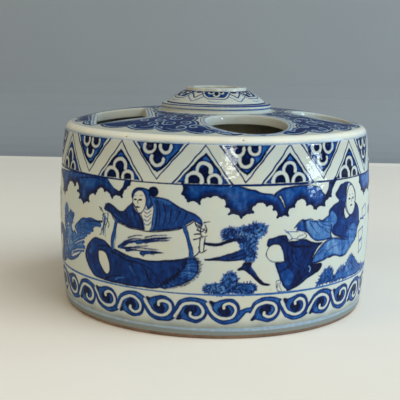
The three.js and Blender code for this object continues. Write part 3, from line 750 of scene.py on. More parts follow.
def paint_leaning_scholar(p):
    """The scholar who leans back under the cloud, with light sleeves over a dark skirt."""
    p.wash([(59.6, 62.2), (61.4, 64.2), (64, 66.6), (67.6, 67), (70.6, 66.6), (69, 64), (68.4, 60),
            (68, 56.6), (69, 54.6), (70, 53.2), (72, 52.4), (74.6, 53.4), (75.2, 56.8), (77, 56.6),
            (79.4, 55), (81.2, 52), (81.8, 48), (83, 46.6), (80.4, 43.6), (79, 40), (76, 38), (66, 41),
            (60, 43.6), (57.6, 46), (56.6, 50), (55.4, 53), (55.6, 55.6), (58.6, 57.6), (62.2, 59.2)], 0.72)
    p.wash([(60, 62), (62, 64.2), (64.6, 66), (67.6, 65.6), (68, 62), (66, 60), (63, 60)], 0.86)
    p.wash([(58, 57.4), (63, 59), (66.6, 58), (66.4, 53), (63, 50.4), (61, 52), (58.4, 55)], 0.84)
    p.wash([(57.6, 48.6), (62, 50), (66, 48), (70, 46.4), (68.6, 43.6), (62, 44), (58.4, 45.4)], 0.8)
    p.wash([(70, 44), (74, 47), (79, 45.6), (79.6, 42), (76, 39.6), (70, 41.6)], 0.5)
    p.wash([(75.4, 55.6), (79.4, 54.4), (80.8, 50), (78, 48.6), (74.6, 50.6)], 0.76)
    p.wash([(36.6, 49.6), (38.4, 51.6), (40.6, 52.6), (43, 52.8), (45.4, 52.2), (47.6, 51.4), (50, 51.6),
            (52.8, 52), (55.6, 53.8), (57.6, 55), (60.4, 53), (61, 50), (58.4, 48), (57.6, 44.6),
            (57.4, 42.8), (52, 42.2), (48.6, 42.6), (45, 44.6), (42.6, 47), (40, 49)], 0.42)
    for points in ([(40.6, 52.4), (41.6, 49), (44, 45.6), (47, 43.4), (52, 42.2)],
                   [(41.6, 52.6), (43, 49), (46, 45)], [(47.4, 51.6), (50, 49), (54, 47.4), (57.6, 46.4)],
                   [(49.6, 51.6), (53, 49.4), (58, 48)], [(44, 51.6), (46.6, 48), (50, 45.4)],
                   [(51.6, 51.4), (55, 50.4), (59, 50.2)], [(53, 47), (55.6, 45.4), (57.4, 45)]):
        p.stroke(points, 0.6, 0.82, 0.25)
    for points, width in (([(36, 49.4), (38.4, 51.8), (40.6, 52.8), (41.4, 52), (43.4, 53), (45.6, 52.4),
                            (47.2, 51.4), (49.6, 52), (51.6, 51.6), (55, 53.4), (59, 57)], 0.6),
                          ([(41.2, 52.2), (42.4, 48.4), (45, 45), (48, 42.8), (52.4, 42.2)], 0.7),
                          ([(57.4, 48.6), (57.2, 45), (58, 43), (55, 42.8), (52, 42.2)], 0.7)):
        p.stroke(points, width, 0.95, 0.35)
    p.wash([(23, 42.8), (23.8, 45.2), (26, 46), (29, 46.7), (32, 46.6), (33.6, 44.6), (37, 43.8),
            (41, 44.2), (44, 43.2), (48, 42), (52.2, 41.4), (50, 39.8), (47.8, 37.4), (46.8, 34.4),
            (47, 32.6), (52, 32), (52.4, 29.8), (50.6, 28), (48, 27.2), (44, 25.6), (40, 23.2),
            (36.6, 21.6), (34, 21), (32.6, 21.6), (31.4, 23.6), (29.6, 28), (28, 32.4), (27.2, 34.8),
            (30.8, 35), (31.2, 38), (29.6, 41.6), (26.6, 42.6), (24.4, 41.8)], 0.86)
    p.wash([(31, 30.6), (34, 31.6), (36.6, 28), (36, 24.6), (33.6, 23.6), (31, 27)], 0.66)
    p.wash([(27.6, 34.6), (31, 34.8), (33, 32.6), (30, 31), (28.6, 32)], 0.72)
    for points, width, ink in (([(33, 43), (38, 41), (44, 40.6), (50, 40.8)], 1.6, 0.99),
                               ([(35, 40), (37, 34), (43, 30)], 0.8, 0.98),
                               ([(33, 41.6), (33.6, 36), (35.6, 31.6)], 0.8, 0.98),
                               ([(44, 39), (41, 34), (43, 29)], 0.8, 0.97),
                               ([(46.6, 37), (44.6, 33), (41, 27)], 1.2, 0.99),
                               ([(38, 24), (42, 27), (47, 30)], 1.4, 0.99),
                               ([(31, 31), (34, 32), (38, 36)], 0.6, 0.97),
                               ([(36, 37), (38, 33.4)], 0.8, 0.66), ([(40, 38.6), (38.6, 36)], 0.8, 0.7),
                               ([(36.6, 33.6), (39.4, 30.8)], 0.8, 0.68),
                               ([(30, 45.4), (33, 43.4), (38, 42.8)], 0.7, 0.97)):
        p.stroke(points, width, ink, 0.35)
    p.bare([(23.4, 39.4), (24, 41.6), (26.4, 42.5), (29, 42.2), (30.6, 40), (31.3, 37), (31.2, 34.9),
            (27, 35), (24.6, 36.2), (23.3, 37.8)])
    p.stroke([(31, 35), (27, 35), (24.4, 36.2), (23.2, 38.2), (23.4, 40.4), (24.4, 42.2)], 0.45, 0.85)
    p.bare([(34.6, 47.6), (38, 47.8), (41.4, 46.9), (42.4, 45.4), (41.2, 44.2), (37, 44.4), (33.4, 43.9),
            (34.4, 45.6)])
    p.stroke([(33.6, 44), (35.6, 44.9), (38.4, 44.3), (41.6, 44.5), (42.4, 45.6), (41, 47)], 0.45, 0.85)
    p.stroke([(31.4, 49), (32.6, 48), (34.6, 47.8), (38, 47.9)], 0.45, 0.6)
    p.stroke([(32, 48), (34, 46.6), (35.6, 44.8)], 0.5, 0.55)
    p.stroke([(40.6, 46), (38.6, 45.8), (37.6, 44.8)], 0.4, 0.8)
    p.wash([(37, 48.6), (39.4, 51.4), (41, 50.4), (43, 46.8), (41.4, 47.2), (38.4, 48)], 0.6)
    p.wash([(46.2, 33.2), (48, 36.6), (51, 39.4), (54.4, 41.8), (57.6, 42.6), (62, 42.2), (66, 41.2),
            (71, 40.8), (76.4, 39.8), (78.4, 38.8), (75, 37.2), (71.4, 35), (69, 33.2), (65, 33),
            (61, 34.2), (57, 34.2), (52, 33), (48.4, 32.4)], 0.44)
    p.wash([(55, 41), (60, 41.6), (65, 38.6), (66, 35), (60, 35.4), (55.6, 37)], 0.37)
    for points, width in (([(46.2, 33), (48, 36.6), (51, 39.6), (54.6, 42), (58, 42.7), (62, 42.2),
                            (66, 41), (70.6, 40.2)], 0.65),
                          ([(46.4, 32.6), (52, 32.9), (57, 34), (61, 34.3), (65, 33), (69, 33.1),
                            (73, 35.6), (78.6, 39)], 0.7), ([(57, 34), (60, 34.4)], 1.1),
                          ([(64.6, 33.1), (68.6, 33.1)], 1.0), ([(60, 43.6), (66, 42.6), (72, 40.4)], 0.5),
                          ([(79.4, 40), (80, 44), (82.4, 46.6)], 1.0)):
        p.stroke(points, width, 0.93, 0.35)
    for points in ([(49, 36), (53, 38), (56, 37)], [(53.4, 35), (58, 38), (64, 39)], [(66, 36), (70, 38.4)],
                   [(70, 46), (74, 44), (78.6, 43.6)], [(72, 47.6), (76.4, 47)]):
        p.stroke(points, 0.55, 0.8, 0.25)
    p.wash([(44.4, 30.6), (46, 32.2), (50, 32.2), (52.4, 31.6), (52.4, 29.6), (50, 28.1), (46.4, 28)], 0.97)
    p.stroke([(44.6, 31.4), (45.6, 30.4), (45.2, 29)], 0.7, 0.3)
    p.bare([(28.2, 26), (30.4, 26.4), (31.4, 24), (33.4, 21.8), (32.8, 21.2), (30, 21.4), (28.6, 23)])
    for points in ([(28.2, 26.2), (30.6, 26.5), (31.6, 24)],
                   [(28.2, 26), (28.6, 23), (30, 21.3), (33, 21.1)], [(30.4, 26), (30, 23.6), (31, 21.6)],
                   [(29.2, 25.4), (29, 23.4)]):
        p.stroke(points, 0.4, 0.85)
    p.bare([(66.8, 55), (67, 52.2), (68, 50.4), (70, 50.8), (71.6, 52.2), (69.6, 54), (68, 55.4)])
    small_face(p, (72.6, 58.4), 4.2, 7.0, 0.5)
    p.stroke([(66.6, 66.9), (70.6, 66.6), (74, 65), (76.6, 62), (77.3, 58.4), (76, 56.6)], 0.8, 0.8, 0.5)
    p.stroke([(67, 58), (68, 54.6), (69.6, 52.6), (72, 51.3), (75.6, 51)], 0.7, 0.85, 0.5)
    p.stroke([(76, 57), (79.4, 55.2), (81.2, 52), (81.8, 48)], 0.7, 0.85, 0.5)


def paint_right_side(p):
    """Ground, bushes and a low table with papers, past the leaning scholar."""
    for ring, tone, seed in (([(70, 26), (72, 29.6), (75, 31.6), (78, 30.6), (81, 28), (86, 25.6), (94, 24),
                               (104, 22.6), (112, 21.6), (70, 21.6)], 0.50, 33),
                             ([(50.6, 22.8), (53, 26.4), (55.4, 28.4), (58, 28.6), (60, 26.4), (60.6, 22.4),
                               (52, 21.8)], 0.56, 34),
                             ([(60.4, 22.2), (63, 25.4), (66, 27.6), (69, 27.8), (71.6, 26), (74, 22),
                               (64, 21.8)], 0.54, 35)):
        p.fuzzy(ring, tone, 1.2, seed, 1)
    for k, (u, z) in enumerate(((54.6, 24), (57.2, 26), (61.6, 22.8), (67.2, 25.2), (74.6, 28), (80, 25.6),
                                (88, 23.6))):
        rng = np.random.RandomState(36 + k)
        for _ in range(14):
            at = (u + rng.uniform(-3, 3), z + rng.uniform(-1.8, 1.8))
            b = rng.uniform(0.2, 2.9)
            p.stroke([at, (at[0] + 1.3 * math.cos(b), at[1] + 1.3 * math.sin(b))], 0.55, 0.85, 0.3,
                     smooth=False)
    for sheet in ([(86.4, 52.4), (92, 54), (92.6, 48.6), (86.8, 47.6)],
                  [(81.8, 41.8), (88.4, 43.4), (88, 38.6), (83.4, 37.2)],
                  [(83.4, 36.6), (88.6, 37.6), (89, 33.4), (84.2, 31)]):
        p.stroke(sheet + sheet[:1], 0.6, 0.6, smooth=False)
    p.stroke([(84, 47.8), (86.6, 47.6), (89.4, 46.8)], 1.2, 0.6, 0.5)


def paint_garden_rock(p):
    """A tall pierced rock with long leaves that spread from behind it."""
    for k in range(9):
        a = math.radians(18 + 18 * k)
        reach = 15 + 3 * (k * 5 % 3)
        tip = (1.1 * reach * math.cos(a), 38 + reach * math.sin(a) - 3.5 * abs(math.cos(a)))
        middle = (0.55 * reach * math.cos(a), 40 + 0.6 * reach * math.sin(a))
        p.stroke([(0, 36, 0.8), (*middle, 2.9), (*tip, 0.4)], 1, 0.46 + 0.05 * (k % 2), layer="fill")
        p.stroke([(0, 37), middle, tip], 0.45, 0.86, 0.25)
    p.wash([(-13, 21.4), (-14.6, 26), (-11.6, 30), (-12.4, 35), (-8.6, 38.6), (-7, 43.6), (-3, 46.4),
            (1.4, 44.8), (2.6, 40.6), (6.4, 38), (6, 33.4), (9.8, 30), (9, 25.6), (12.4, 21.4)], 0.68)
    p.wash([(-12.2, 22), (-13, 26), (-10, 30), (-10.8, 34.6), (-7.4, 37.6), (-6, 42), (-3.6, 44),
            (-4.6, 37), (-8, 31), (-7.4, 22)], 0.92)
    for points, ink in (([(-2, 43), (-1, 39), (-3.4, 34), (-2, 29)], 0.97),
                        ([(3, 37), (1.6, 33), (5.6, 28), (5, 23)], 0.97),
                        ([(-6, 30), (-3.6, 26), (-4.6, 22)], 0.9),
                        ([(7.6, 30), (6.6, 26), (8.6, 22.4)], 0.9), ([(0.6, 42.6), (0.4, 39)], 0.45),
                        ([(-1.6, 26), (0.4, 23)], 0.45)):
        p.stroke(points, 1.0, ink, 0.4)
    for hole in ([(-3.2, 38.4), (-1.4, 40.6), (0.6, 39), (-0.4, 35.8), (-2.4, 35.4)],
                 [(1.6, 30.4), (3.8, 30.8), (4.4, 27.6), (2.4, 25.8)]):
        p.bare(hole)
        p.outline(hole, 0.5, 0.95)


def paint_far_side(p):
    """The side that the photograph doesn't show: the same subjects in another order."""
    p.place(124)
    p.wash([(-25, 51), (-8, 51.6), (6, 51.4), (6.4, 48.8), (-8, 48.6), (-25, 48.4)], 0.44, smooth=False)
    p.wash([(-19, 39.4), (3, 39), (3, 37), (-19, 37.2)], 0.36, smooth=False)
    for side in (-19.4, 3.2):
        p.wash([(side - 1.3, 48.4), (side + 1.3, 48.4), (side + 1.1, 32), (side + 1.8, 22.6),
                (side - 1.8, 22.6), (side - 1.1, 32)], 0.62, smooth=False)
    for points, width, ink in (([(-25.4, 51.2), (-14, 51.8), (-4, 51.4), (6.6, 51.6)], 0.6, 0.9),
                               ([(-25.2, 48.2), (-10, 48.6), (6.6, 48.6)], 0.6, 0.9),
                               ([(-18, 46.4), (-8, 44.6), (2, 46.4)], 0.7, 0.8)):
        p.stroke(points, width, ink)
    for k in range(3):
        p.wash([(-21 + k * 0.7, 51.8 + 1.5 * k), (-21 + k * 0.7, 53 + 1.5 * k),
                (-12 - k * 0.5, 53.1 + 1.5 * k), (-12 - k * 0.5, 51.9 + 1.5 * k)], 0.56 + 0.12 * (k % 2),
               smooth=False)
    p.wash([(-4, 51.2), (-4.6, 54.4), (-2, 57.4), (0.4, 54.4), (0, 51.3)], 0.8)
    p.stroke([(-2, 57), (-3, 60), (-5, 61.6)], 0.5, 0.8)
    p.stroke([(-2, 57), (-1, 60.4), (1, 62)], 0.5, 0.8)
    p.place(262, flip=True)
    paint_leaning_scholar(p)
    paint_pine(p)
    cloud(p, MIDDLE_CLOUD, MIDDLE_CLOUD_TOP)
    cloud(p, RIGHT_CLOUD, RIGHT_CLOUD_TOP, 0.5)
    p.place(291)
    cloud(p, MIDDLE_CLOUD[12:], MIDDLE_CLOUD_TOP)
    p.place()
    for middle, wide, peak, seed in ((160, 10, 30, 50), (207, 12, 31, 60), (266, 14, 29, 70)):
        paint_bush(p, middle, wide, peak, seed)
    p.place(332, flip=True)
    paint_rock(p)
    paint_scholar(p)
    p.place(305)
    paint_garden_rock(p)
    p.place(158)
    tuft(p, (0, 43), (8, 4.2), 0.62, 60, 81)
    tuft(p, (10, 50), (6.6, 3.4), 0.62, 44, 82)
    tuft(p, (-5, 52), (6, 3), 0.6, 36, 83)
    p.stroke([(9, 24), (7, 31), (4, 37), (5, 44), (8, 49)], 2.6, 0.9, 1.2, layer="fill")
    p.stroke([(4, 37), (0, 41), (-4, 50)], 1.4, 0.9, 0.6, layer="fill")
    p.place()


def paint_frieze(p):
    """The whole scene between the two turned lines."""
    paint_far_side(p)
    paint_clouds(p)
    paint_left_plant(p)
    paint_rock(p)
    paint_scholar(p)
    paint_pine(p)
    paint_bush(p, 8, 11.5, 31, 20)
    paint_right_side(p)
    paint_leaning_scholar(p)


def paint_wall(p):
    """Everything on the wall, from the pale washes at the foot to the shoulder."""
    paint_scroll(p)
    paint_frieze(p)
    paint_petals(p)
    ring_line(p, 20.7, 0.85, 0.48)
    ring_line(p, 68.7, 0.85, 0.86)


# Clouds on the deck
CURL_PITCH = 8.2
DECK_GROUND = 0.84
CURL_INK = 0.17
COLLAR_EDGE = 29.4
DECK_REACH = 74
RIM_SCALLOPS, INNER_SCALLOPS = 27, 22


def lobes(turn, count, shift):
    """Rounded scallops with sharp points between them, from 0 to 1 round the deck."""
    return np.abs(np.sin(turn * count / 2 + shift + 0.8 * np.sin(turn * 3 + shift))) ** 0.7


def lobed_edge(x, y):
    """The scalloped outer edge of the deck's cloud ground."""
    around = np.arctan2(x, -y)
    sway = 1.1 * np.sin(around * 2 - 0.3) + 0.6 * np.sin(around * 5 + 0.7)
    return 67.5 + sway + 3.0 * lobes(around, RIM_SCALLOPS, 0.0)


def margin_distance(x, y, openings):
    """Distance from the nearest opening."""
    nearest = np.full(len(x), 99.0)
    for hole in openings:
        nearest = np.minimum(nearest, hole_distance(x, y, hole))
    return nearest


def cloud_curl(p, middle, size, start, side):
    """A pale curl of cloud: a spiral with a tail that runs into the next one."""
    cx, cy = middle
    p.arc((cx, cy), size, start, start + side * 420, 0.85, CURL_INK, tip=0.5, grow=-size * 0.68)
    a = math.radians(start)
    b = a - side * 0.9
    p.stroke([(cx + size * math.cos(a), cy + size * math.sin(a)),
              (cx + (size + 1.3) * math.cos(a - side * 0.4), cy + (size + 1.3) * math.sin(a - side * 0.4)),
              (cx + (size + 3.2) * math.cos(b), cy + (size + 3.2) * math.sin(b))], 0.7, CURL_INK, 0.4)


def paint_deck(p, openings):
    """A scalloped cloud ground with pale curls, and white margins with soft lines round the openings."""
    x, y = p.true
    r = np.hypot(x, y)
    opening = margin_distance(x, y, openings)
    around = np.arctan2(x, -y)
    round_front_hole = np.arctan2(x - 14, -48 - y)
    inner = COLLAR_EDGE + 2.0 * (1 - lobes(around, INNER_SCALLOPS, 1.0))
    margin = 3.6 + 1.3 * (1 - lobes(round_front_hole, INNER_SCALLOPS, 0.4)) + 0.3 * np.sin(around * 23)
    margin = margin - 0.22 * np.clip(r - 58, 0, 8)
    ground = np.maximum(np.maximum(r - lobed_edge(x, y), inner - r), margin - opening)
    idx = np.flatnonzero(ground < FAR)
    p.lay("fill", idx, ground[idx], DECK_GROUND)
    rim = np.abs(ground + 1.3) - 0.32
    idx = np.flatnonzero(rim < 1.5)
    p.lay("line", idx, rim[idx], CURL_INK)
    rng = np.random.RandomState(21)
    row_pitch = CURL_PITCH * 0.87
    for row in range(int(2 * DECK_REACH / row_pitch)):
        for column in range(int(2 * DECK_REACH / CURL_PITCH) + 1):
            cx = -DECK_REACH + (column + 0.5 * (row % 2)) * CURL_PITCH + rng.uniform(-1.2, 1.2)
            cy = -DECK_REACH + row * row_pitch + rng.uniform(-1.2, 1.2)
            start, size, side = rng.uniform(0, 360), rng.uniform(2.5, 3.6), rng.choice((-1, 1))
            here, there = np.array([cx]), np.array([cy])
            reach = max(math.hypot(cx, cy) - lobed_edge(here, there)[0], COLLAR_EDGE - math.hypot(cx, cy),
                        5.0 - margin_distance(here, there, openings)[0])
            if reach < -2.0:
                cloud_curl(p, (cx, cy), min(size, -reach - 0.3), start, side)
    off_ground = np.flatnonzero((ground > -0.3) | (opening < 3.2))
    lines = p.layers["line"][0]
    lines[off_ground] = np.maximum(lines[off_ground], 0.8)
    for away, width, ink in ((1.3, 0.7, 0.42), (2.7, 0.5, 0.55)):
        line = np.abs(opening - away) - width / 2
        idx = np.flatnonzero(line < 1.0)
        p.lay("line", idx, line[idx], ink)


def paint_collar_ring(p):
    """Two blue lines round the edge of the collar's ring; heights are measured up from the deck."""
    for z, width, ink in ((3.3, 0.6, 0.74), (1.7, 0.55, 0.5)):
        ring_line(p, z, width, ink)


DOME_PETALS = 6


def paint_dome(p):
    """Hanging petals with scales on the collar's dome, and chevrons between; heights run up its slope."""
    pitch = p.round_length / DOME_PETALS
    for k in range(DOME_PETALS):
        p.place(k * pitch)
        p.wash([(-7.8, 11.4), (7.8, 11.4), (6.4, 8.8), (4.8, 6.4), (3.6, 5.3), (-3.6, 5.3), (-4.8, 6.4),
                (-6.4, 8.8)], 0.66, smooth=False)
        p.wash([(-3.4, 11), (3.4, 11), (2.4, 8), (0, 6.2), (-2.4, 8)], 0.95)
        p.stroke([(-8.8, 10.9), (-7.2, 8.0), (-5.2, 5.2), (-3.6, 4.1), (3.6, 4.1), (5.2, 5.2), (7.2, 8.0),
                  (8.8, 10.9)], 0.55, 0.86, smooth=False)
        for u, v in ((-2.9, 9.9), (2.9, 9.9), (0, 7.6)):
            p.arc((u, v), 1.35, 180, 360, 0.85, bare=True)
        p.stroke([(-3.2, 2.5), (-0.6, 2.1), (2.6, 2.5)], 0.5, 0.45, 0.3)
        p.place((k + 0.5) * pitch)
        p.wash([(-2.2, 10.4), (0, 11.2), (2.2, 10.3), (1.4, 9.1), (-1.2, 9.0)], 0.9)
        p.stroke([(-3.6, 8.9), (-1.6, 6.9), (0, 5.0), (1.6, 6.9), (3.6, 8.9)], 0.7, 0.85)
        p.stroke([(-4.6, 6.3), (-2.4, 4.2), (0, 2.4), (2.4, 4.2), (4.6, 6.3)], 0.5, 0.6)
    p.place()
    for v, width, ink in ((0.35, 0.8, 0.82), (11.0, 0.5, 0.8)):
        d = np.abs(p.true[1] - v) - width / 2
        idx = np.flatnonzero(d < 2)
        p.lay("line", idx, d[idx], ink)


# Turning and building
def round_off(centre, radius, start, end, steps):
    """Points on a corner's arc, in degrees."""
    return [(centre[0] + radius * math.cos(math.radians(a)), centre[1] + radius * math.sin(math.radians(a)))
            for a in np.linspace(start, end, steps + 1)]


def climb(low, high, step, radius):
    """An upright profile between two heights, with its radius at each."""
    count = max(2, int(round((high - low) / step)) + 1)
    return [(radius(z) * TRIM, z) for z in np.linspace(low, high, count)]


def new_tree(name, inputs, result):
    """A node tree with its named inputs and its one result."""
    tree = bpy.data.node_groups.new(name, "GeometryNodeTree")
    for label, kind in inputs:
        tree.interface.new_socket(label, in_out="INPUT", socket_type="NodeSocket" + kind)
    tree.interface.new_socket(result, in_out="OUTPUT", socket_type="NodeSocketGeometry")
    return tree, tree.nodes.new("NodeGroupInput").outputs, tree.nodes.new("NodeGroupOutput").inputs


def link(tree, *pairs):
    """Links each output to its input."""
    for a, b in pairs:
        tree.links.new(a, b)


def potters_wheel():
    """Node tree that turns a profile round the upright axis into a closed body."""
    tree, given, result = new_tree(
        "Potter's wheel",
        (("Profile", "Geometry"), ("Steps round", "Int"), ("Profile points", "Int"), ("Glaze", "Material")),
        "Turned body")
    new = tree.nodes.new
    sheet, index = new("GeometryNodeMeshGrid"), new("GeometryNodeInputIndex")
    place = new("GeometryNodeInputPosition")
    columns, column, row = (new("FunctionNodeIntegerMath") for _ in range(3))
    columns.operation, column.operation, row.operation = "ADD", "DIVIDE_FLOOR", "MODULO"
    columns.inputs[1].default_value = 1
    sample = new("GeometryNodeSampleIndex")
    sample.data_type = "FLOAT_VECTOR"
    share, angle = new("ShaderNodeMath"), new("ShaderNodeMath")
    share.operation, angle.operation = "DIVIDE", "MULTIPLY"
    angle.inputs[1].default_value = 2 * math.pi
    spin = new("ShaderNodeVectorRotate")
    spin.rotation_type = "Z_AXIS"
    layout = new("GeometryNodeStoreNamedAttribute")
    layout.data_type, layout.domain = "FLOAT2", "CORNER"
    layout.inputs["Name"].default_value = "OFBake"
    move, weld = new("GeometryNodeSetPosition"), new("GeometryNodeMergeByDistance")
    weld.inputs["Distance"].default_value = 0.002 * MM
    real, coat = new("GeometryNodeRealizeInstances"), new("GeometryNodeSetMaterial")
    link(tree, (given["Steps round"], columns.inputs[0]), (columns.outputs[0], sheet.inputs["Vertices X"]),
         (given["Profile points"], sheet.inputs["Vertices Y"]), (index.outputs[0], column.inputs[0]),
         (given["Profile points"], column.inputs[1]), (index.outputs[0], row.inputs[0]),
         (given["Profile points"], row.inputs[1]), (given["Profile"], sample.inputs["Geometry"]),
         (place.outputs[0], sample.inputs["Value"]), (row.outputs[0], sample.inputs["Index"]),
         (column.outputs[0], share.inputs[0]), (given["Steps round"], share.inputs[1]),
         (share.outputs[0], angle.inputs[0]), (sample.outputs[0], spin.inputs["Vector"]),
         (angle.outputs[0], spin.inputs["Angle"]), (sheet.outputs["Mesh"], layout.inputs["Geometry"]),
         (sheet.outputs["UV Map"], layout.inputs["Value"]), (layout.outputs[0], move.inputs["Geometry"]),
         (spin.outputs[0], move.inputs["Position"]), (move.outputs[0], weld.inputs["Geometry"]),
         (weld.outputs[0], real.inputs[0]), (real.outputs[0], coat.inputs["Geometry"]),
         (given["Glaze"], coat.inputs["Material"]), (coat.outputs[0], result[0]))
    return tree


FULL_TURN = 6.28


def kiln_grit_nodes():
    """Node tree that strews grains of grit over a bed, each with its own turn and size."""
    tree, given, result = new_tree(
        "Kiln grit",
        (("Bed", "Geometry"), ("Grains per square metre", "Float"), ("Grain", "Float"), ("Seed", "Int"),
         ("Clay", "Material")),
        "Grit")
    new = tree.nodes.new
    strew, grain = new("GeometryNodeDistributePointsOnFaces"), new("GeometryNodeMeshIcoSphere")
    set_down = new("GeometryNodeInstanceOnPoints")
    size, turn = new("FunctionNodeRandomValue"), new("FunctionNodeRandomValue")
    grain.inputs["Subdivisions"].default_value = 1
    size.data_type = turn.data_type = "FLOAT_VECTOR"
    for node, low, high in ((size, (0.35, 0.35, 0.2), (1.0, 1.0, 0.6)),
                            (turn, (0, 0, 0), (FULL_TURN,) * 3)):
        vectors = [s for s in node.inputs if s.type == "VECTOR"]
        vectors[0].default_value, vectors[1].default_value = low, high
    real, coat = new("GeometryNodeRealizeInstances"), new("GeometryNodeSetMaterial")
    link(tree, (given["Bed"], strew.inputs["Mesh"]),
         (given["Grains per square metre"], strew.inputs["Density"]), (given["Seed"], strew.inputs["Seed"]),
         (given["Grain"], grain.inputs["Radius"]), (strew.outputs["Points"], set_down.inputs["Points"]),
         (grain.outputs["Mesh"], set_down.inputs["Instance"]),
         (turn.outputs["Value"], set_down.inputs["Rotation"]),
         (size.outputs["Value"], set_down.inputs["Scale"]), (given["Seed"], size.inputs["Seed"]),
         (given["Seed"], turn.inputs["Seed"]), (set_down.outputs[0], real.inputs[0]),
         (real.outputs[0], coat.inputs["Geometry"]), (given["Clay"], coat.inputs["Material"]),
         (coat.outputs[0], result[0]))
    return tree


def grit_bed(rows, steps=72):
    """The rings of (radius, height) that grit sticks to, as a plain sheet."""
    verts = [(r * MM * math.cos(2 * math.pi * k / steps), r * MM * math.sin(2 * math.pi * k / steps),
              z * MM) for r, z in rows for k in range(steps)]
    faces = [(j * steps + k, j * steps + (k + 1) % steps, (j + 1) * steps + (k + 1) % steps,
              (j + 1) * steps + k) for j in range(len(rows) - 1) for k in range(steps)]
    mesh = bpy.data.meshes.new("grit bed")
    mesh.from_pydata(verts, [], faces)
    return mesh


def run_nodes(start_mesh, tree, values):
    """Runs a node tree on a mesh and gives the plain mesh that comes out; values are set by socket name."""
    carrier = bpy.data.objects.new("carrier", start_mesh)
    bpy.context.scene.collection.objects.link(carrier)
    step = carrier.modifiers.new("nodes", "NODES")
    step.node_group = tree
    for socket in tree.interface.items_tree:
        if socket.item_type == "SOCKET" and socket.in_out == "INPUT" and socket.name in values:
            step[socket.identifier] = values[socket.name]
    depsgraph = bpy.context.evaluated_depsgraph_get()
    made = bpy.data.meshes.new_from_object(carrier.evaluated_get(depsgraph), preserve_all_data_layers=True,
                                           depsgraph=depsgraph)
    carrier.modifiers.clear()
    bpy.data.objects.remove(carrier)
    return made


SHARP_ANGLE = math.radians(38)


def settle(name, mesh, material, nodes):
    """Finishes a piece: shading, material, body and the CAD nodes that it stands for."""
    mesh.name = name
    mesh.materials.clear()
    mesh.materials.append(material)
    mesh.polygons.foreach_set("material_index", np.zeros(len(mesh.polygons), np.int32))
    mesh.shade_smooth()
    mesh.set_sharp_from_angle(angle=SHARP_ANGLE)
    piece = bpy.data.objects.new(name, mesh)
    bpy.context.scene.collection.objects.link(piece)
    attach(piece, "root")
    if nodes:
        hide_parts(*nodes)


def turned(profile, steps, material):
    """A body turned on the wheel from a closed profile of (radius, height) in millimetres."""
    ring = list(profile) + [profile[0]]
    mesh = bpy.data.meshes.new("profile")
    mesh.from_pydata([(r * MM, 0, z * MM) for r, z in ring], [], [])
    tree = bpy.data.node_groups.get("Potter's wheel") or potters_wheel()
    made = run_nodes(mesh, tree, {"Steps round": steps, "Profile points": len(ring), "Glaze": material})
    bpy.data.meshes.remove(mesh)
    return made


def places(mesh):
    """A mesh's points in millimetres."""
    co = np.empty(len(mesh.vertices) * 3, np.float32)
    mesh.vertices.foreach_get("co", co)
    return co.reshape(-1, 3).astype(float) / MM


def round_arc(co):
    """The arc from the front, towards the right, of points on the drum."""
    return np.arctan2(co[:, 0], -co[:, 1]) * ARC_RADIUS


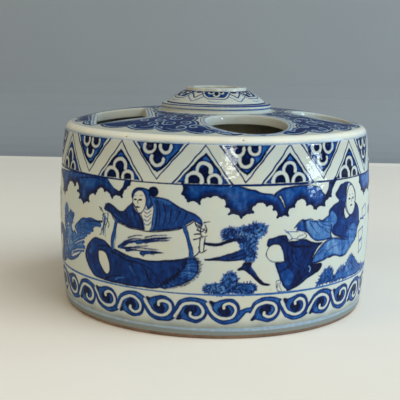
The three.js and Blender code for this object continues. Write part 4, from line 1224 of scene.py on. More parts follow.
# Glazes and clay
class Finish:
    """A material's node tree, with short words for the nodes that the glazes share."""

    def __init__(self, name):
        self.material = bpy.data.materials.new(name)
        self.material.use_nodes = True
        self.tree = self.material.node_tree
        self.shader = self.tree.nodes["Principled BSDF"]
        self.place = self.node("ShaderNodeTexCoord").outputs["Object"]

    def node(self, kind, **settings):
        """A new node of the tree, with its settings."""
        made = self.tree.nodes.new(kind)
        for key, value in settings.items():
            setattr(made, key, value)
        return made

    def feed(self, socket, value):
        """Feeds a socket from another socket or with a plain value."""
        if isinstance(value, bpy.types.NodeSocket):
            self.tree.links.new(value, socket)
        else:
            socket.default_value = value

    def noise(self, size, detail=2.0, roughness=0.5, stretch=None):
        """Soft noise with patches of a size in millimetres, as a number round 0.5."""
        made = self.node("ShaderNodeTexNoise")
        made.inputs["Scale"].default_value = 1 / (size * MM)
        made.inputs["Detail"].default_value = detail
        made.inputs["Roughness"].default_value = roughness
        place = self.place
        if stretch:
            mapping = self.node("ShaderNodeMapping")
            mapping.inputs["Scale"].default_value = stretch
            self.feed(mapping.inputs["Vector"], place)
            place = mapping.outputs[0]
        self.feed(made.inputs["Vector"], place)
        return made.outputs["Fac"]

    def math(self, operation, a, b=0.0, c=0.0, clamp=False):
        """A sum or a test on one to three numbers."""
        made = self.node("ShaderNodeMath", operation=operation, use_clamp=clamp)
        for socket, value in zip(made.inputs, (a, b, c)):
            self.feed(socket, value)
        return made.outputs[0]

    def spread(self, value, low, high, to_low=0.0, to_high=1.0, smooth=True):
        """A number stretched from one range to another."""
        made = self.node("ShaderNodeMapRange", interpolation_type="SMOOTHSTEP" if smooth else "LINEAR")
        for label, number in (("Value", value), ("From Min", low), ("From Max", high), ("To Min", to_low),
                              ("To Max", to_high)):
            self.feed(made.inputs[label], number)
        return made.outputs[0]

    def attribute(self, name):
        """A number that the painting left on the mesh."""
        return self.node("ShaderNodeAttribute", attribute_name=name).outputs["Fac"]

    def mix(self, share, a, b, blend="MIX"):
        """One colour laid over another by a share from 0 to 1."""
        made = self.node("ShaderNodeMix", data_type="RGBA", blend_type=blend)
        for label, value in (("Factor_Float", share), ("A_Color", a), ("B_Color", b)):
            socket = next(s for s in made.inputs if s.identifier == label)
            self.feed(socket, value if isinstance(value, (float, int, bpy.types.NodeSocket))
                      else (*value[:3], 1.0))
        return next(s for s in made.outputs if s.identifier == "Result_Color")

    def red_of(self, colour):
        """The red part of a colour, as a random number for each cell."""
        made = self.node("ShaderNodeSeparateColor")
        self.feed(made.inputs[0], colour)
        return made.outputs[0]

    def ramp(self, value, stops):
        """A colour picked along a row of stops."""
        made = self.node("ShaderNodeValToRGB")
        bar = made.color_ramp
        while len(bar.elements) < len(stops):
            bar.elements.new(0.5)
        for element, (at, colour) in zip(bar.elements, stops):
            element.position, element.color = at, (*colour, 1.0)
        self.feed(made.inputs["Fac"], value)
        return made.outputs["Color"]

    def bump(self, height, strength, depth, before=None):
        """A relief that only shades, of a depth in millimetres, laid on the one before it."""
        made = self.node("ShaderNodeBump")
        made.inputs["Strength"].default_value = strength
        made.inputs["Distance"].default_value = depth * MM
        self.feed(made.inputs["Height"], height)
        if before:
            self.feed(made.inputs["Normal"], before)
        return made.outputs[0]

    def finish(self, colour, roughness, normal, coat=0.0, coat_roughness=0.03):
        """Joins everything to the shader and gives the material."""
        self.feed(self.shader.inputs["Base Color"], colour)
        self.feed(self.shader.inputs["Roughness"], roughness)
        self.feed(self.shader.inputs["Normal"], normal)
        self.feed(self.shader.inputs["Coat Normal"], normal)
        self.shader.inputs["Coat Weight"].default_value = coat
        self.shader.inputs["Coat Roughness"].default_value = coat_roughness
        self.shader.inputs["Coat IOR"].default_value = 1.35
        if coat:
            self.shader.inputs["Specular IOR Level"].default_value = 0.0
        return self.material


WHITE_COOL = (0.50, 0.54, 0.475)
WHITE_WARM = (0.54, 0.53, 0.415)
CREAM = (0.76, 0.73, 0.58)
COBALT = ((0.0, (0.42, 0.49, 0.49)), (0.15, (0.25, 0.34, 0.42)), (0.35, (0.085, 0.20, 0.40)),
          (0.5, (0.022, 0.094, 0.28)), (0.65, (0.004, 0.042, 0.185)), (0.8, (0.0015, 0.018, 0.105)),
          (0.92, (0.002, 0.009, 0.052)), (1.0, (0.001, 0.004, 0.024)))


def body_white(f):
    """The greyish white of the glazed body, uneven in patches; darker towards the foot, partly glaze run
    and partly painted shade, and greyed by painted shade from the petal border upward.
    """
    patches = f.spread(f.noise(26, 3), 0.35, 0.7)
    colour = f.mix(patches, WHITE_COOL, WHITE_WARM)
    haze = f.spread(f.noise(5, 3), 0.3, 0.75, 0.0, 0.12)
    colour = f.mix(haze, colour, (0.44, 0.50, 0.48))
    height = f.node("ShaderNodeSeparateXYZ")
    f.feed(height.inputs[0], f.place)
    run = f.math("ADD", height.outputs["Z"], f.math("MULTIPLY_ADD", f.noise(8, 2), 0.004, -0.002))
    # Darker towards the foot: partly glaze that ran and pooled, partly painted shade where the wall curves
    # in over the table.
    colour = f.mix(f.spread(run, 0.0035, 0.0105, 0.85, 0.0), colour, (0.14, 0.16, 0.155))
    # Painted shade: the white greys from the petal border upward, under the shoulder, and stays greyed on
    # the deck, collar and lip that share this white.
    colour = f.mix(f.spread(run, 0.066, 0.084, 0.0, 0.30), colour, (0.26, 0.29, 0.29))
    specks = f.node("ShaderNodeTexVoronoi")
    specks.inputs["Scale"].default_value = 1 / (6.5 * MM)
    f.feed(specks.inputs["Vector"], f.place)
    rare = f.math("GREATER_THAN", f.red_of(specks.outputs["Color"]), 0.86)
    dot = f.math("MULTIPLY", f.spread(specks.outputs["Distance"], 0.03, 0.055, 0.55, 0.0), rare)
    return f.mix(dot, colour, (0.18, 0.12, 0.07))


def glaze_skin(f):
    """Orange-peel waviness and pinholes of the thick glaze."""
    peel = f.bump(f.noise(2.6, 2), 0.6, 0.07)
    slow = f.bump(f.noise(8, 2, 0.6), 1.0, 0.36, peel)
    pits = f.node("ShaderNodeTexVoronoi")
    pits.inputs["Scale"].default_value = 1 / (4.2 * MM)
    f.feed(pits.inputs["Vector"], f.place)
    return f.bump(f.spread(pits.outputs["Distance"], 0.02, 0.07), 0.5, 0.06, slow)


def brushed(f, colour):
    """The cobalt brushwork laid over a colour, with soft edges where it sinks into the glaze."""
    wobble = f.noise(1.3, 3, 0.6)
    layers = {}
    for name, shake, blur in (("fill", 0.5, 0.32), ("line", 0.24, 0.24)):
        distance = f.math("ADD", f.attribute(name), f.math("MULTIPLY_ADD", wobble, shake, -shake / 2))
        layers[name] = distance, f.spread(distance, -blur, blur, 1.0, 0.0)
    pooled = f.spread(layers["fill"][0], -1.05, -0.25, 0.0, 0.26)
    dabs = f.math("MULTIPLY_ADD", f.noise(2.3, 3, 0.65), 0.36, -0.18)
    streaks = f.math("MULTIPLY_ADD", f.noise(6.0, 2, 0.5, (2.6, 2.6, 1.0)), 0.46, -0.23)
    tone = f.math("ADD", f.attribute("fill_tone"), f.math("ADD", dabs, streaks))
    tone = f.math("ADD", tone, pooled, clamp=True)
    ink = f.math("ADD", f.attribute("line_tone"), f.math("MULTIPLY", dabs, 0.9), clamp=True)
    halo = f.spread(layers["fill"][0], 0.0, 1.5, 0.14, 0.0)
    colour = f.mix(halo, colour, (0.30, 0.40, 0.58))
    colour = f.mix(layers["fill"][1], colour, f.ramp(tone, COBALT))
    return f.mix(layers["line"][1], colour, f.ramp(ink, COBALT))


def painted_glaze():
    """Underglaze blue painting on the white body, under a clear glossy glaze."""
    f = Finish("cobalt_under_glaze")
    roughness = f.spread(f.noise(7, 3), 0.3, 0.7, 0.16, 0.28)
    return f.finish(brushed(f, body_white(f)), roughness, glaze_skin(f), coat=0.45)


def worn_rim():
    """White glaze on the shoulder's round, warm and rubbed, with painted shade on its lower part and the
    clay showing in its chips.
    """
    f = Finish("worn_rim")
    rub = f.spread(f.noise(9, 4, 0.6), 0.35, 0.7)
    colour = f.mix(rub, CREAM, (0.70, 0.715, 0.62))
    stain = f.spread(f.noise(2.2, 4, 0.7), 0.62, 0.76, 0.0, 0.3)
    colour = f.mix(stain, colour, (0.56, 0.48, 0.32))
    height = f.node("ShaderNodeSeparateXYZ")
    f.feed(height.inputs[0], f.place)
    # Painted shade on the lower part of the round, where it turns down into the wall.
    colour = f.mix(f.spread(height.outputs["Z"], 0.0862, 0.0882, 0.55, 0.0), colour, (0.26, 0.29, 0.29))
    colour = brushed(f, colour)
    chip = f.attribute("chip")
    crumb = f.math("MULTIPLY_ADD", f.noise(0.7, 2), 0.5, -0.25)
    bare = f.spread(f.math("ADD", chip, crumb), 0.35, 0.6)
    colour = f.mix(bare, colour, (0.20, 0.15, 0.075))
    roughness = f.math("ADD", f.spread(rub, 0, 1, 0.30, 0.18), f.math("MULTIPLY", bare, 0.5), clamp=True)
    return f.finish(colour, roughness, glaze_skin(f), coat=0.8, coat_roughness=0.06)


def plain_glaze():
    """Greyish white glaze, a little cream where it thins over an edge."""
    f = Finish("plain_white_glaze")
    colour = f.mix(f.spread(f.noise(5, 3), 0.4, 0.75, 0.0, 0.6), body_white(f), CREAM)
    return f.finish(colour, f.spread(f.noise(7, 3), 0.3, 0.7, 0.16, 0.3), glaze_skin(f), coat=1.0)


def clay_finish(name, pale, dark, burnt, grit):
    """Unglazed clay with flashing from the kiln, turning grit and small dark specks."""
    f = Finish(name)
    colour = f.mix(f.spread(f.noise(11, 4, 0.6), 0.3, 0.7), pale, dark)
    colour = f.mix(f.spread(f.noise(3.0, 4, 0.65), 0.52, 0.75, 0.0, 0.75), colour, burnt)
    colour = f.mix(f.spread(f.noise(0.8, 2), 0.66, 0.74, 0.0, 0.6), colour, (0.10, 0.06, 0.035))
    normal = f.bump(f.noise(0.55, 3, 0.7), 0.6, grit)
    normal = f.bump(f.noise(4.0, 2, 0.5, (0.3, 0.3, 2.2)), 0.5, grit * 1.6, normal)
    return f.finish(colour, f.spread(f.noise(2.0, 3), 0.3, 0.7, 0.62, 0.85), normal)


# The deck plate
EDGE_EASE = 0.95
UNDER_EASE = 0.6
DECK_COLUMNS = 720
UNDER_COLUMNS = 180


def hole_outline(hole, out, spacing=0.9):
    """Points round an opening at a distance outside its edge; every distance gives as many points."""
    cx, cy, half_long, half_wide, corner, turn = hole
    points = []
    arc_steps = max(5, int(round(corner * math.pi / 2 / spacing)))
    straight_long = int(round(2 * (half_long - corner) / spacing))
    straight_wide = int(round(2 * (half_wide - corner) / spacing))
    corners = ((1, 1, 0, straight_long), (-1, 1, 90, straight_wide), (-1, -1, 180, straight_long),
               (1, -1, 270, straight_wide))
    for sx, sy, start, straight in corners:
        mx, my = sx * (half_long - corner), sy * (half_wide - corner)
        for k in range(arc_steps + (1 if straight else 0)):
            a = math.radians(start + 90 * k / arc_steps)
            points.append((mx + (corner + out) * math.cos(a), my + (corner + out) * math.sin(a)))
        if straight:
            a = math.radians(start + 90)
            ex, ey = mx + (corner + out) * math.cos(a), my + (corner + out) * math.sin(a)
            run = 2 * (half_long - corner) if start in (0, 180) else 2 * (half_wide - corner)
            for k in range(1, straight):
                step = run * k / straight
                points.append((ex - step * math.sin(a), ey + step * math.cos(a)))
    c, s = math.cos(turn), math.sin(turn)
    return [(cx + x * c - y * s, cy + x * s + y * c) for x, y in points]


def ring_sheet(bm, radii, columns, height, openings, clear, upward):
    """A sheet of rings with its openings left out; gives the vertices ring by ring."""
    angles = np.linspace(0, 2 * math.pi, columns, endpoint=False)
    rings = []
    for r in radii:
        z = float(height(r))
        rings.append([bm.verts.new((r * math.cos(a) * MM, r * math.sin(a) * MM, z * MM)) for a in angles])
    away = [margin_distance(r * np.cos(angles), r * np.sin(angles), openings) > clear for r in radii]
    for j in range(len(radii) - 1):
        for i in range(columns):
            n = (i + 1) % columns
            if away[j][i] and away[j][n] and away[j + 1][i] and away[j + 1][n]:
                quad = (rings[j][i], rings[j + 1][i], rings[j + 1][n], rings[j][n])
                bm.faces.new(quad if upward else quad[::-1])
    return rings


def ring_at(bm, outline, height):
    """Vertices along an outline, each at the height for its distance from the middle."""
    return [bm.verts.new((x * MM, y * MM, float(height(math.hypot(x, y))) * MM)) for x, y in outline]


def rings_round_hole(bm, hole):
    """The eased edge, the bore and the lower edge of an opening, as rings of vertices from the top down."""
    rings = []
    for a in np.radians((0, 18, 36, 54, 72, 90)):
        fall = EDGE_EASE * (1 - math.cos(a))
        outline = hole_outline(hole, EDGE_EASE * (1 - math.sin(a)))
        rings.append(ring_at(bm, outline, lambda r: deck_height(r) - fall))
    for a in np.radians((90, 60, 30, 0)):
        rise = UNDER_EASE * (1 - math.cos(a))
        outline = hole_outline(hole, UNDER_EASE * (1 - math.sin(a)))
        rings.append(ring_at(bm, outline, lambda r: deck_under(r) + rise))
    for upper, lower in zip(rings[:-1], rings[1:]):
        for i in range(len(upper)):
            n = (i + 1) % len(upper)
            bm.faces.new((upper[i], lower[i], lower[n], upper[n]))
    return rings[0], rings[-1]


def fill_between(bm, ring, hole, clear, columns_step, on_top):
    """Fills the gap between a sheet's stepped edge and the ring round an opening."""
    edges = [e for e in bm.edges if len(e.link_faces) == 1]
    chosen = []
    own = set(ring)
    for e in edges:
        a, b = e.verts
        if a in own and b in own:
            chosen.append(e)
            continue
        if a in own or b in own:
            continue
        x, y, z = ((a.co + b.co) / 2) / MM
        level = (deck_height(math.hypot(x, y)) + deck_under(math.hypot(x, y))) / 2
        near = hole_distance(np.array([x]), np.array([y]), hole)[0]
        if near < clear + columns_step * 2.2 and (z > level) == on_top:
            chosen.append(e)
    made = bmesh.ops.triangle_fill(bm, edges=chosen, use_beauty=True, use_dissolve=False,
                                   normal=(0, 0, 1 if on_top else -1))
    for face in made["geom"]:
        if isinstance(face, bmesh.types.BMFace) and (face.normal.z > 0) != on_top:
            face.normal_flip()


def wall_between(bm, many, few):
    """A wall from a ring to one with fewer vertices."""
    ratio = len(many) // len(few)
    for i, low in enumerate(few):
        for k in range(ratio):
            a, b = many[i * ratio + k], many[(i * ratio + k + 1) % len(many)]
            bm.faces.new((a, low, b))
        bm.faces.new((many[(i + 1) * ratio % len(many)], low, few[(i + 1) % len(few)]))


def deck_body(openings):
    """The deck plate with its openings, as one closed body."""
    bm = bmesh.new()
    fine = list(np.linspace(DECK_BORE, 27.0, 6)) + list(np.linspace(27.5, RIM_RADIUS * TRIM, 91))
    coarse = list(np.linspace(DECK_BORE, INNER_RADIUS, 26)) + [RIM_RADIUS * TRIM]
    clear_top, clear_under = EDGE_EASE + 0.35, UNDER_EASE + 0.9
    top = ring_sheet(bm, fine, DECK_COLUMNS, deck_height, openings, clear_top, True)
    under = ring_sheet(bm, coarse, UNDER_COLUMNS, deck_under_or_rim, openings, clear_under, False)
    wall_between(bm, top[-1], under[-1])
    wall_between(bm, list(reversed(top[0])), list(reversed(under[0])))
    holes = [rings_round_hole(bm, hole) for hole in openings]
    loose = [v for v in bm.verts if not v.link_faces]
    bmesh.ops.delete(bm, geom=loose, context="VERTS")
    bm.normal_update()
    for hole, (upper, lower) in zip(openings, holes):
        fill_between(bm, upper, hole, clear_top, 0.8, True)
        fill_between(bm, lower, hole, clear_under, 2.4, False)
    bmesh.ops.recalc_face_normals(bm, faces=bm.faces)
    open_edges = sum(1 for e in bm.edges if len(e.link_faces) != 2)
    if open_edges:
        raise RuntimeError(f"the deck has {open_edges} open edges")
    mesh = bpy.data.meshes.new("deck")
    bm.to_mesh(mesh)
    bm.free()
    return mesh


def deck_under_or_rim(r):
    """The deck's underside, level where it lies on the wall."""
    return deck_under(r) if r <= INNER_RADIUS else WALL_TOP


# Sizes and settings that a user may change
class InkStandPotting(bpy.types.PropertyGroup):
    """Sizes of the potting."""

    steps_round: IntProperty(name="Steps round", description="Steps round the drum's wall", default=1320,
                             min=64)
    step: FloatProperty(name="Step up the wall",
                        description="Height of one row of the painted skin, in millimetres", default=0.37,
                        min=0.2)
    slot_length: FloatProperty(name="Slot length",
                               description="Length of the slot in the deck, in millimetres", default=42.0)
    slot_width: FloatProperty(name="Slot width",
                              description="Width of the slot in the deck, in millimetres", default=23.5)
    grit: FloatProperty(name="Kiln grit", description="Grains to a square metre inside the foot",
                        default=60000.0, min=0)
    grit_seed: IntProperty(name="Grit seed", description="Seed of the grit's places", default=17)
    throwing: FloatProperty(name="Throwing rings",
                            description="Height of the finger rings inside, in millimetres", default=0.16)


class InkStandStage(bpy.types.PropertyGroup):
    """The studio round the stand."""

    floor: FloatVectorProperty(name="Floor", description="Colour of the cloth-covered table",
                               subtype="COLOR", size=3, default=(0.92, 0.86, 0.745), min=0, max=1)
    backdrop: FloatVectorProperty(name="Backdrop", description="Colour of the backdrop", subtype="COLOR",
                                  size=3, default=(0.27, 0.29, 0.30), min=0, max=1)
    key: FloatProperty(name="Window light", description="Power of the soft window light", default=29.5,
                       min=0, subtype="POWER")
    side: FloatProperty(name="Side window",
                        description="Power of the window that shines in the glaze at the right",
                        default=3.4, min=0, subtype="POWER")
    front: FloatProperty(name="Front window",
                         description="Power of the small window that shines in the glaze in front",
                         default=1.2, min=0, subtype="POWER")
    sky_side: FloatProperty(name="Sky window", description="Power of the bluish window at the far right",
                            default=5.0, min=0, subtype="POWER")
    fill: FloatProperty(name="Fill light", description="Power of the warm fill light", default=2.2, min=0,
                        subtype="POWER")
    sky: FloatProperty(name="Room light", description="Strength of the light from all round", default=0.24,
                       min=0)
    lens: FloatProperty(name="Lens", description="Focal length of the camera, in millimetres", default=81.2,
                        min=10)


def potting():
    """The sizes that are set for this scene."""
    return bpy.context.scene.ink_stand_potting


def slot_opening():
    """The rectangular opening, from its sizes and its bearing."""
    bearing, turn, reach = math.radians(-159.1), math.radians(6), 49.1
    p = potting()
    return (reach * math.cos(bearing), reach * math.sin(bearing), p.slot_width / 2, p.slot_length / 2, 2.0,
            turn)


def openings():
    """All four openings of the deck."""
    return (*OPENINGS, slot_opening())


def glaze(name, make):
    """A finish that pieces share, made once."""
    return bpy.data.materials.get(name) or make()


def biscuit():
    """The unglazed body inside the hollow and under the base."""
    return clay_finish("biscuit", (0.34, 0.345, 0.27), (0.25, 0.24, 0.175), (0.24, 0.17, 0.10), 0.09)


def painted_band(name, low, high):
    """A band of the wall, turned from a fine profile and painted."""
    p = potting()
    rows = climb(low, high, p.step, drum_radius)
    blue = glaze("cobalt_under_glaze", painted_glaze)
    mesh = turned(rows + [(WALL_BACK, high), (WALL_BACK, low)], p.steps_round, blue)
    co = places(mesh)
    painted = np.hypot(co[:, 0], co[:, 1]) > WALL_BACK + 1
    painting = Painting(round_arc(co)[painted], co[painted, 2])
    paint_wall(painting)
    painting.keep(mesh, painted)
    settle(name, mesh, blue, ["drum_wall"])


class INKSTAND_OT_foot(bpy.types.Operator):
    """Turns the bare foot ring and the base slab, and lays kiln grit on them"""

    bl_idname = "inkstand.foot"
    bl_label = "Foot and base"

    def execute(self, context):
        clay = glaze("burnt_clay", lambda: clay_finish("burnt_clay", (0.23, 0.145, 0.085),
                                                       (0.15, 0.085, 0.05), (0.09, 0.05, 0.03), 0.12))
        inner = FOOT_RADIUS - FOOT_WIDTH
        foot = [(inner + 1.2, 0.0), (inner + 4.2, 0.0)]
        foot += round_off((FOOT_RADIUS - 1.5, 1.3), 1.3, -90, -8, 6)
        foot += [(drum_radius(BARE_TOP) * TRIM, BARE_TOP), (WALL_BACK, BARE_TOP), (WALL_BACK, FOOT_TOP),
                 (inner, FOOT_TOP), (inner, 3.0), (inner, 1.2), (inner + 0.4, 0.4)]
        settle("foot_ring", turned(foot, 720, clay), clay, ["foot_ring"])
        rows = [(r, FOOT_TOP + 0.10 * math.sin(r * 1.9) - (0.25 if r < 60 else 0.0))
                for r in np.arange(1.5, 67, 1.5)]
        base = [(0.0, 4.75)] + [(r, max(z, 4.65)) for r, z in rows]
        base += [(WALL_BACK, FOOT_TOP), (WALL_BACK, FLOOR_TOP)]
        base += [(r, FLOOR_TOP - 0.12 + 0.12 * math.sin(r * 1.1)) for r in np.arange(69, 1, -1.5)]
        base += [(0.0, 10.9)]
        bare = glaze("biscuit", biscuit)
        mesh = turned(base, 240, bare)
        settle("base_disc", mesh, bare, ["base_disc"])
        stuck = clay_finish("kiln_grit", (0.40, 0.33, 0.24), (0.20, 0.15, 0.10), (0.09, 0.06, 0.04), 0.05)
        bed = grit_bed([(inner + 0.1, 1.6), (inner + 0.1, 4.4), (inner - 5, 4.7), (inner - 22, 4.7)])
        p = potting()
        grains = {"Grains per square metre": p.grit, "Grain": 0.42 * MM, "Seed": p.grit_seed, "Clay": stuck}
        settle("kiln_grit", run_nodes(bed, kiln_grit_nodes(), grains), stuck, [])
        return {"FINISHED"}


class INKSTAND_OT_wall(bpy.types.Operator):
    """Turns and paints the drum's wall in four bands, with the thrown inside"""

    bl_idname = "inkstand.wall"
    bl_label = "Painted wall"

    def execute(self, context):
        painted_band("scroll_band", BARE_TOP, SCROLL_TOP)
        painted_band("scene_lower", SCROLL_TOP, FRIEZE_MIDDLE)
        painted_band("scene_upper", FRIEZE_MIDDLE, FRIEZE_TOP)
        painted_band("petal_band", FRIEZE_TOP, WALL_TOP)
        bare = glaze("biscuit", biscuit)
        depth = potting().throwing
        inside = [(INNER_RADIUS + depth * (0.5 + 0.5 * math.sin(z * 0.9)), z)
                  for z in np.linspace(WALL_TOP, FLOOR_TOP, 112)[1:-1]]
        inside = [(INNER_RADIUS, WALL_TOP)] + inside + [(INNER_RADIUS, FLOOR_TOP)]
        mesh = turned([(WALL_BACK, FLOOR_TOP), (WALL_BACK, WALL_TOP)] + inside, 360, bare)
        settle("inner_wall", mesh, bare, ["drum_wall"])
        return {"FINISHED"}


# Chips in the rim: bearing in radians, degrees up the round, half width and depth in millimetres
CHIPS = ((0.16, 42, 0.5, 0.45), (0.40, 55, 0.35, 0.35), (-0.55, 36, 0.55, 0.4), (-1.1, 50, 0.5, 0.45),
         (0.9, 62, 0.4, 0.4), (1.9, 38, 0.7, 0.5), (2.6, 52, 0.5, 0.4), (-2.2, 44, 0.6, 0.5),
         (-2.9, 60, 0.4, 0.3), (0.52, 30, 0.3, 0.3), (0.06, 26, 0.3, 0.3), (-0.24, 60, 0.3, 0.3))
CHIP_DEPTH = 0.42
CHIPPED_FROM, CHIPPED_TO = 4, 71
RIM_ARC = 74
PETALS_END = 86.1
PAINTED_ROUND = 2.8


class INKSTAND_OT_rim(bpy.types.Operator):
    """Turns the shoulder's round, knocks its small chips and paints the petals' ends on it"""

    bl_idname = "inkstand.rim"
    bl_label = "Worn rim"

    def execute(self, context):
        arc = round_off((ROUND_CENTRE * TRIM, WALL_TOP), ROUND_RADIUS, 0, 75, 16)
        rubbed = glaze("worn_rim", worn_rim)
        mesh = turned(arc + [(RIM_RADIUS * TRIM, WALL_TOP)], potting().steps_round, rubbed)
        co = places(mesh)
        around = np.arctan2(co[:, 0], -co[:, 1])
        reach = np.hypot(co[:, 0], co[:, 1])
        up = np.degrees(np.arctan2(co[:, 2] - WALL_TOP, reach - ROUND_CENTRE))
        skin = np.hypot(co[:, 2] - WALL_TOP, reach - ROUND_CENTRE) > ROUND_RADIUS - 0.2
        chip = np.zeros(len(co))
        for bearing, height, wide, deep in CHIPS:
            higher = (up - height) * math.radians(1) * ROUND_RADIUS
            away = np.hypot((around - bearing) * RIM_ARC, higher) / wide
            chip = np.maximum(chip, np.clip(1.25 - away, 0, 1) * (deep / 0.5))
        chip = np.where(skin & (up > CHIPPED_FROM) & (up < CHIPPED_TO), np.clip(chip, 0, 1), 0)
        inward = np.column_stack([co[:, 0] / reach, co[:, 1] / reach, np.full(len(co), 0.4)])
        co -= inward * (chip * CHIP_DEPTH)[:, None]
        mesh.vertices.foreach_set("co", (co * MM).astype(np.float32).ravel())
        attribute = mesh.attributes.new("chip", "FLOAT", "POINT")
        attribute.data.foreach_set("value", chip.astype(np.float32))
        low = skin & (co[:, 2] < WALL_TOP + PAINTED_ROUND)
        painting = Painting(round_arc(co)[low], co[low, 2])
        paint_petals(painting)
        ring_line(painting, PETALS_END, 0.6, 0.16)
        painting.keep(mesh, low)
        settle("worn_rim", mesh, rubbed, ["deck_plate"])
        return {"FINISHED"}


class INKSTAND_OT_deck(bpy.types.Operator):
    """Cuts the openings in the deck plate, eases their edges and paints its clouds"""

    bl_idname = "inkstand.deck"
    bl_label = "Pierced deck"

    def execute(self, context):
        mesh = deck_body(openings())
        co = places(mesh)
        r = np.hypot(co[:, 0], co[:, 1])
        painted = co[:, 2] > deck_height(r) - EDGE_EASE * 1.1
        painting = Painting(co[painted, 0], co[painted, 1], 0)
        paint_deck(painting, openings())
        painting.keep(mesh, painted)
        settle("deck", mesh, glaze("cobalt_under_glaze", painted_glaze), ["deck_plate"])
        return {"FINISHED"}


COLLAR_BORE = 18.5
COLLAR_STEPS = 480
DOME_SEAT = 24.9
DOME_ARC = 20
DOME_BOW = 0.75


def collar_ring():
    """The ring that rises from the deck, softened at its foot and its edge."""
    blue = glaze("cobalt_under_glaze", painted_glaze)
    foot = [(1.2, 0.0), (0.5, 0.12), (-0.15, 0.45), (-0.45, 0.9)]
    profile = [(COLLAR_BORE, DECK_TOP)] + [(COLLAR_RADIUS + out, DECK_TOP + up) for out, up in foot]
    profile += round_off((COLLAR_RADIUS - 1.5, COLLAR_TOP - 1.35), 1.5, -40, 0, 5)
    profile += round_off((COLLAR_RADIUS - 1.35, COLLAR_TOP - 1.35), 1.35, 6, 90, 9)
    profile += [(DOME_SEAT, COLLAR_TOP), (COLLAR_BORE, COLLAR_TOP)]
    mesh = turned(profile, COLLAR_STEPS, blue)
    co = places(mesh)
    skin = np.hypot(co[:, 0], co[:, 1]) > COLLAR_BORE + 1
    painting = Painting(np.arctan2(co[skin, 0], -co[skin, 1]) * COLLAR_RADIUS, co[skin, 2] - DECK_TOP,
                        2 * math.pi * COLLAR_RADIUS)
    paint_collar_ring(painting)
    painting.keep(mesh, skin)
    settle("collar_ring", mesh, blue, ["collar_ring"])


def collar_dome():
    """The slightly bowed dome on the ring, painted up its slope."""
    blue = glaze("cobalt_under_glaze", painted_glaze)
    slope = np.linspace(0, 1, 32)
    rise, run = DOME_TOP - COLLAR_TOP, DOME_RADIUS - DOME_SHOULDER
    length = math.hypot(rise, run)
    bow = DOME_BOW * 4 * slope * (1 - slope)
    radii = DOME_RADIUS - run * slope + bow * rise / length
    heights = COLLAR_TOP + rise * slope + bow * run / length
    profile = list(zip(radii, heights)) + [(MOUTH_RADIUS, DOME_TOP), (COLLAR_BORE, COLLAR_TOP)]
    mesh = turned(profile, COLLAR_STEPS, blue)
    co = places(mesh)
    r = np.hypot(co[:, 0], co[:, 1])
    along = (DOME_RADIUS - r) * run / length + (co[:, 2] - COLLAR_TOP) * rise / length
    skin = (r >= DOME_SHOULDER - 0.05) & (along > -0.3)
    around = np.arctan2(co[skin, 0], -co[skin, 1])
    painting = Painting(around * DOME_ARC, along[skin], 2 * math.pi * DOME_ARC)
    paint_dome(painting)
    painting.keep(mesh, skin)
    settle("collar_dome", mesh, blue, ["collar_dome"])


def mouth_lip():
    """The white lip round the mouth, with both of its edges rounded."""
    white = glaze("plain_white_glaze", plain_glaze)
    profile = [(LIP_RADIUS, DOME_TOP)]
    profile += [(LIP_RADIUS, z) for z in np.linspace(DOME_TOP + 0.3, LIP_TOP - 0.5, 4)]
    profile += round_off((LIP_RADIUS - 0.5, LIP_TOP - 0.5), 0.5, 15, 90, 5)
    profile += round_off((MOUTH_RADIUS + 0.6, LIP_TOP - 0.6), 0.6, 90, 180, 6)
    profile += [(MOUTH_RADIUS, DOME_TOP)]
    settle("mouth_lip", turned(profile, 360, white), white, ["mouth_lip"])


class INKSTAND_OT_collar(bpy.types.Operator):
    """Turns the collar's ring, its dome and the lip, and paints the first two"""

    bl_idname = "inkstand.collar"
    bl_label = "Stepped collar"

    def execute(self, context):
        collar_ring()
        collar_dome()
        mouth_lip()
        return {"FINISHED"}


def flat_material(name, colour, roughness):
    """A dull, almost even finish for the table and the backdrop."""
    f = Finish(name)
    f.shader.inputs["Specular IOR Level"].default_value = 0.08
    shade = f.mix(f.spread(f.noise(60, 3), 0.3, 0.7, 0.0, 0.5), colour, [c * 0.97 for c in colour])
    return f.finish(shade, roughness, f.bump(f.noise(9, 3), 0.15, 0.1))


def soft_light(name, place, aim, size, power, colour):
    """An area lamp that shines at a point and isn't seen itself."""
    lamp = bpy.data.lights.new(name, "AREA")
    lamp.shape, lamp.size, lamp.size_y = "RECTANGLE", size[0], size[1]
    lamp.energy, lamp.color = power, colour
    light = bpy.data.objects.new(name, lamp)
    bpy.context.scene.collection.objects.link(light)
    away = Vector(place) - Vector(aim)
    light.matrix_world = Matrix.Translation(place) @ away.to_track_quat("Z", "Y").to_matrix().to_4x4()
    light.visible_camera = False


# Lamps in metres: name, property with its power, place, height that it aims at, size and colour
LAMPS = (("window", "key", (1.10, -0.84, 1.56), 0.06, (1.7, 1.7), (0.86, 0.94, 1.0)),
         ("sky_window", "sky_side", (1.25, 0.15, 0.45), 0.06, (0.5, 0.5), (0.45, 0.72, 1.0)),
         ("side_window", "side", (1.08, -0.30, 0.085), 0.07, (0.20, 0.14), (0.62, 0.82, 1.0)),
         ("front_window", "front", (0.16, -0.87, 0.165), 0.08, (0.12, 0.09), (0.90, 0.96, 1.0)),
         ("fill", "fill", (-0.75, -0.45, 0.45), 0.05, (0.5, 0.5), (1.0, 0.80, 0.52)))
ROOM_COLOUR = (1.0, 0.975, 0.93, 1.0)
TABLE_FRONT, TABLE_BACK, TABLE_SIDE = -1.6, 0.51, 1.8
BACKDROP_BEND, BACKDROP_TOP = 0.08, 1.6
CAMERA_PLACE = (0, -0.4544, 0.1288)
CAMERA_TURN = (-0.916, 9.985, 0.996)


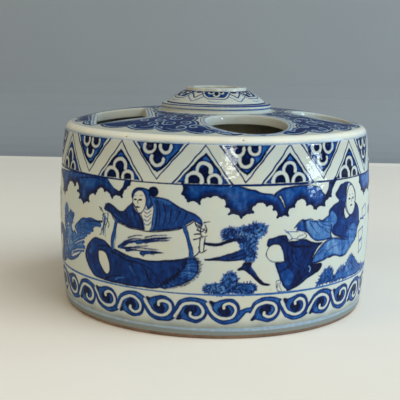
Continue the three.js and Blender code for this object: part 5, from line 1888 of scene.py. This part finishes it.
def lay_table(s):
    """The pale table and, behind it, the backdrop that it bends up into."""
    bm = bmesh.new()
    bend = [(TABLE_BACK + BACKDROP_BEND * math.sin(a), BACKDROP_BEND - BACKDROP_BEND * math.cos(a))
            for a in np.radians(np.arange(10, 91, 10))]
    profile = [(TABLE_FRONT, 0.0), (TABLE_BACK, 0.0)] + bend + [(TABLE_BACK + BACKDROP_BEND, BACKDROP_TOP)]
    rows = [[bm.verts.new((x, y, z)) for x in (-TABLE_SIDE, TABLE_SIDE)] for y, z in profile]
    for near, far in zip(rows[:-1], rows[1:]):
        face = bm.faces.new((near[0], near[1], far[1], far[0]))
        face.material_index = 0 if face.calc_center_median().z < 0.001 else 1
    mesh = bpy.data.meshes.new("table")
    bm.to_mesh(mesh)
    bm.free()
    mesh.materials.append(flat_material("table_cloth", s.floor, 0.9))
    mesh.materials.append(flat_material("backdrop", s.backdrop, 0.95))
    table = bpy.data.objects.new("table", mesh)
    bpy.context.scene.collection.objects.link(table)


def set_camera(scene, lens):
    """The camera where the photographer stood: turned by yaw, pitch and roll, in degrees."""
    camera = bpy.data.cameras.new("camera")
    camera.lens, camera.sensor_width, camera.clip_start = lens, 36.0, 0.01
    camera.dof.use_dof = False
    yaw, pitch, roll = (math.radians(a) for a in CAMERA_TURN)
    look = np.array([math.sin(yaw) * math.cos(pitch), math.cos(yaw) * math.cos(pitch), -math.sin(pitch)])
    level = np.cross(look, (0, 0, 1))
    level /= np.linalg.norm(level)
    upright = np.cross(level, look)
    right = math.cos(roll) * level + math.sin(roll) * upright
    up = -math.sin(roll) * level + math.cos(roll) * upright
    turn = Matrix.Identity(4)
    for row in range(3):
        turn[row][0], turn[row][1], turn[row][2] = right[row], up[row], -look[row]
    holder = bpy.data.objects.new("camera", camera)
    scene.collection.objects.link(holder)
    holder.matrix_world = Matrix.Translation(CAMERA_PLACE) @ turn
    scene.camera = holder


class INKSTAND_OT_stage(bpy.types.Operator):
    """Lays the table and backdrop, hangs the lights and sets up the camera"""

    bl_idname = "inkstand.stage"
    bl_label = "Studio"

    def execute(self, context):
        s = context.scene.ink_stand_stage
        lay_table(s)
        for name, power, place, aim, size, colour in LAMPS:
            soft_light(name, place, (0, 0, aim), size, getattr(s, power), colour)
        world = bpy.data.worlds.new("room")
        context.scene.world = world
        world.use_nodes = True
        sky = world.node_tree.nodes["Background"]
        sky.inputs["Color"].default_value = ROOM_COLOUR
        sky.inputs["Strength"].default_value = s.sky
        set_camera(context.scene, s.lens)
        context.scene.view_settings.view_transform = "Standard"
        return {"FINISHED"}


class INKSTAND_PT_panel(bpy.types.Panel):
    """Lists the steps of making the stand"""

    bl_label = "Ink Stand"
    bl_space_type = "VIEW_3D"
    bl_region_type = "UI"
    bl_category = "Ink Stand"

    def draw(self, context):
        for group in (context.scene.ink_stand_potting, context.scene.ink_stand_stage):
            box = self.layout.box()
            for name in group.bl_rna.properties.keys():
                if name not in ("rna_type", "name"):
                    box.prop(group, name)
        for step in STEPS:
            self.layout.operator(step.bl_idname)


STEPS = (INKSTAND_OT_foot, INKSTAND_OT_wall, INKSTAND_OT_rim, INKSTAND_OT_deck, INKSTAND_OT_collar,
         INKSTAND_OT_stage)
CLASSES = (InkStandPotting, InkStandStage, *STEPS, INKSTAND_PT_panel)


def register():
    """Adds the classes and the two groups of settings."""
    for made in CLASSES:
        bpy.utils.register_class(made)
    bpy.types.Scene.ink_stand_potting = PointerProperty(type=InkStandPotting)
    bpy.types.Scene.ink_stand_stage = PointerProperty(type=InkStandStage)


def unregister():
    """Takes them out again."""
    del bpy.types.Scene.ink_stand_stage
    del bpy.types.Scene.ink_stand_potting
    for made in reversed(CLASSES):
        bpy.utils.unregister_class(made)


def main():
    """Makes the stand and its studio step by step."""
    register()
    bpy.ops.inkstand.foot()
    bpy.ops.inkstand.wall()
    bpy.ops.inkstand.rim()
    bpy.ops.inkstand.deck()
    bpy.ops.inkstand.collar()
    bpy.ops.inkstand.stage()


if __name__ == "__main__":
    main()
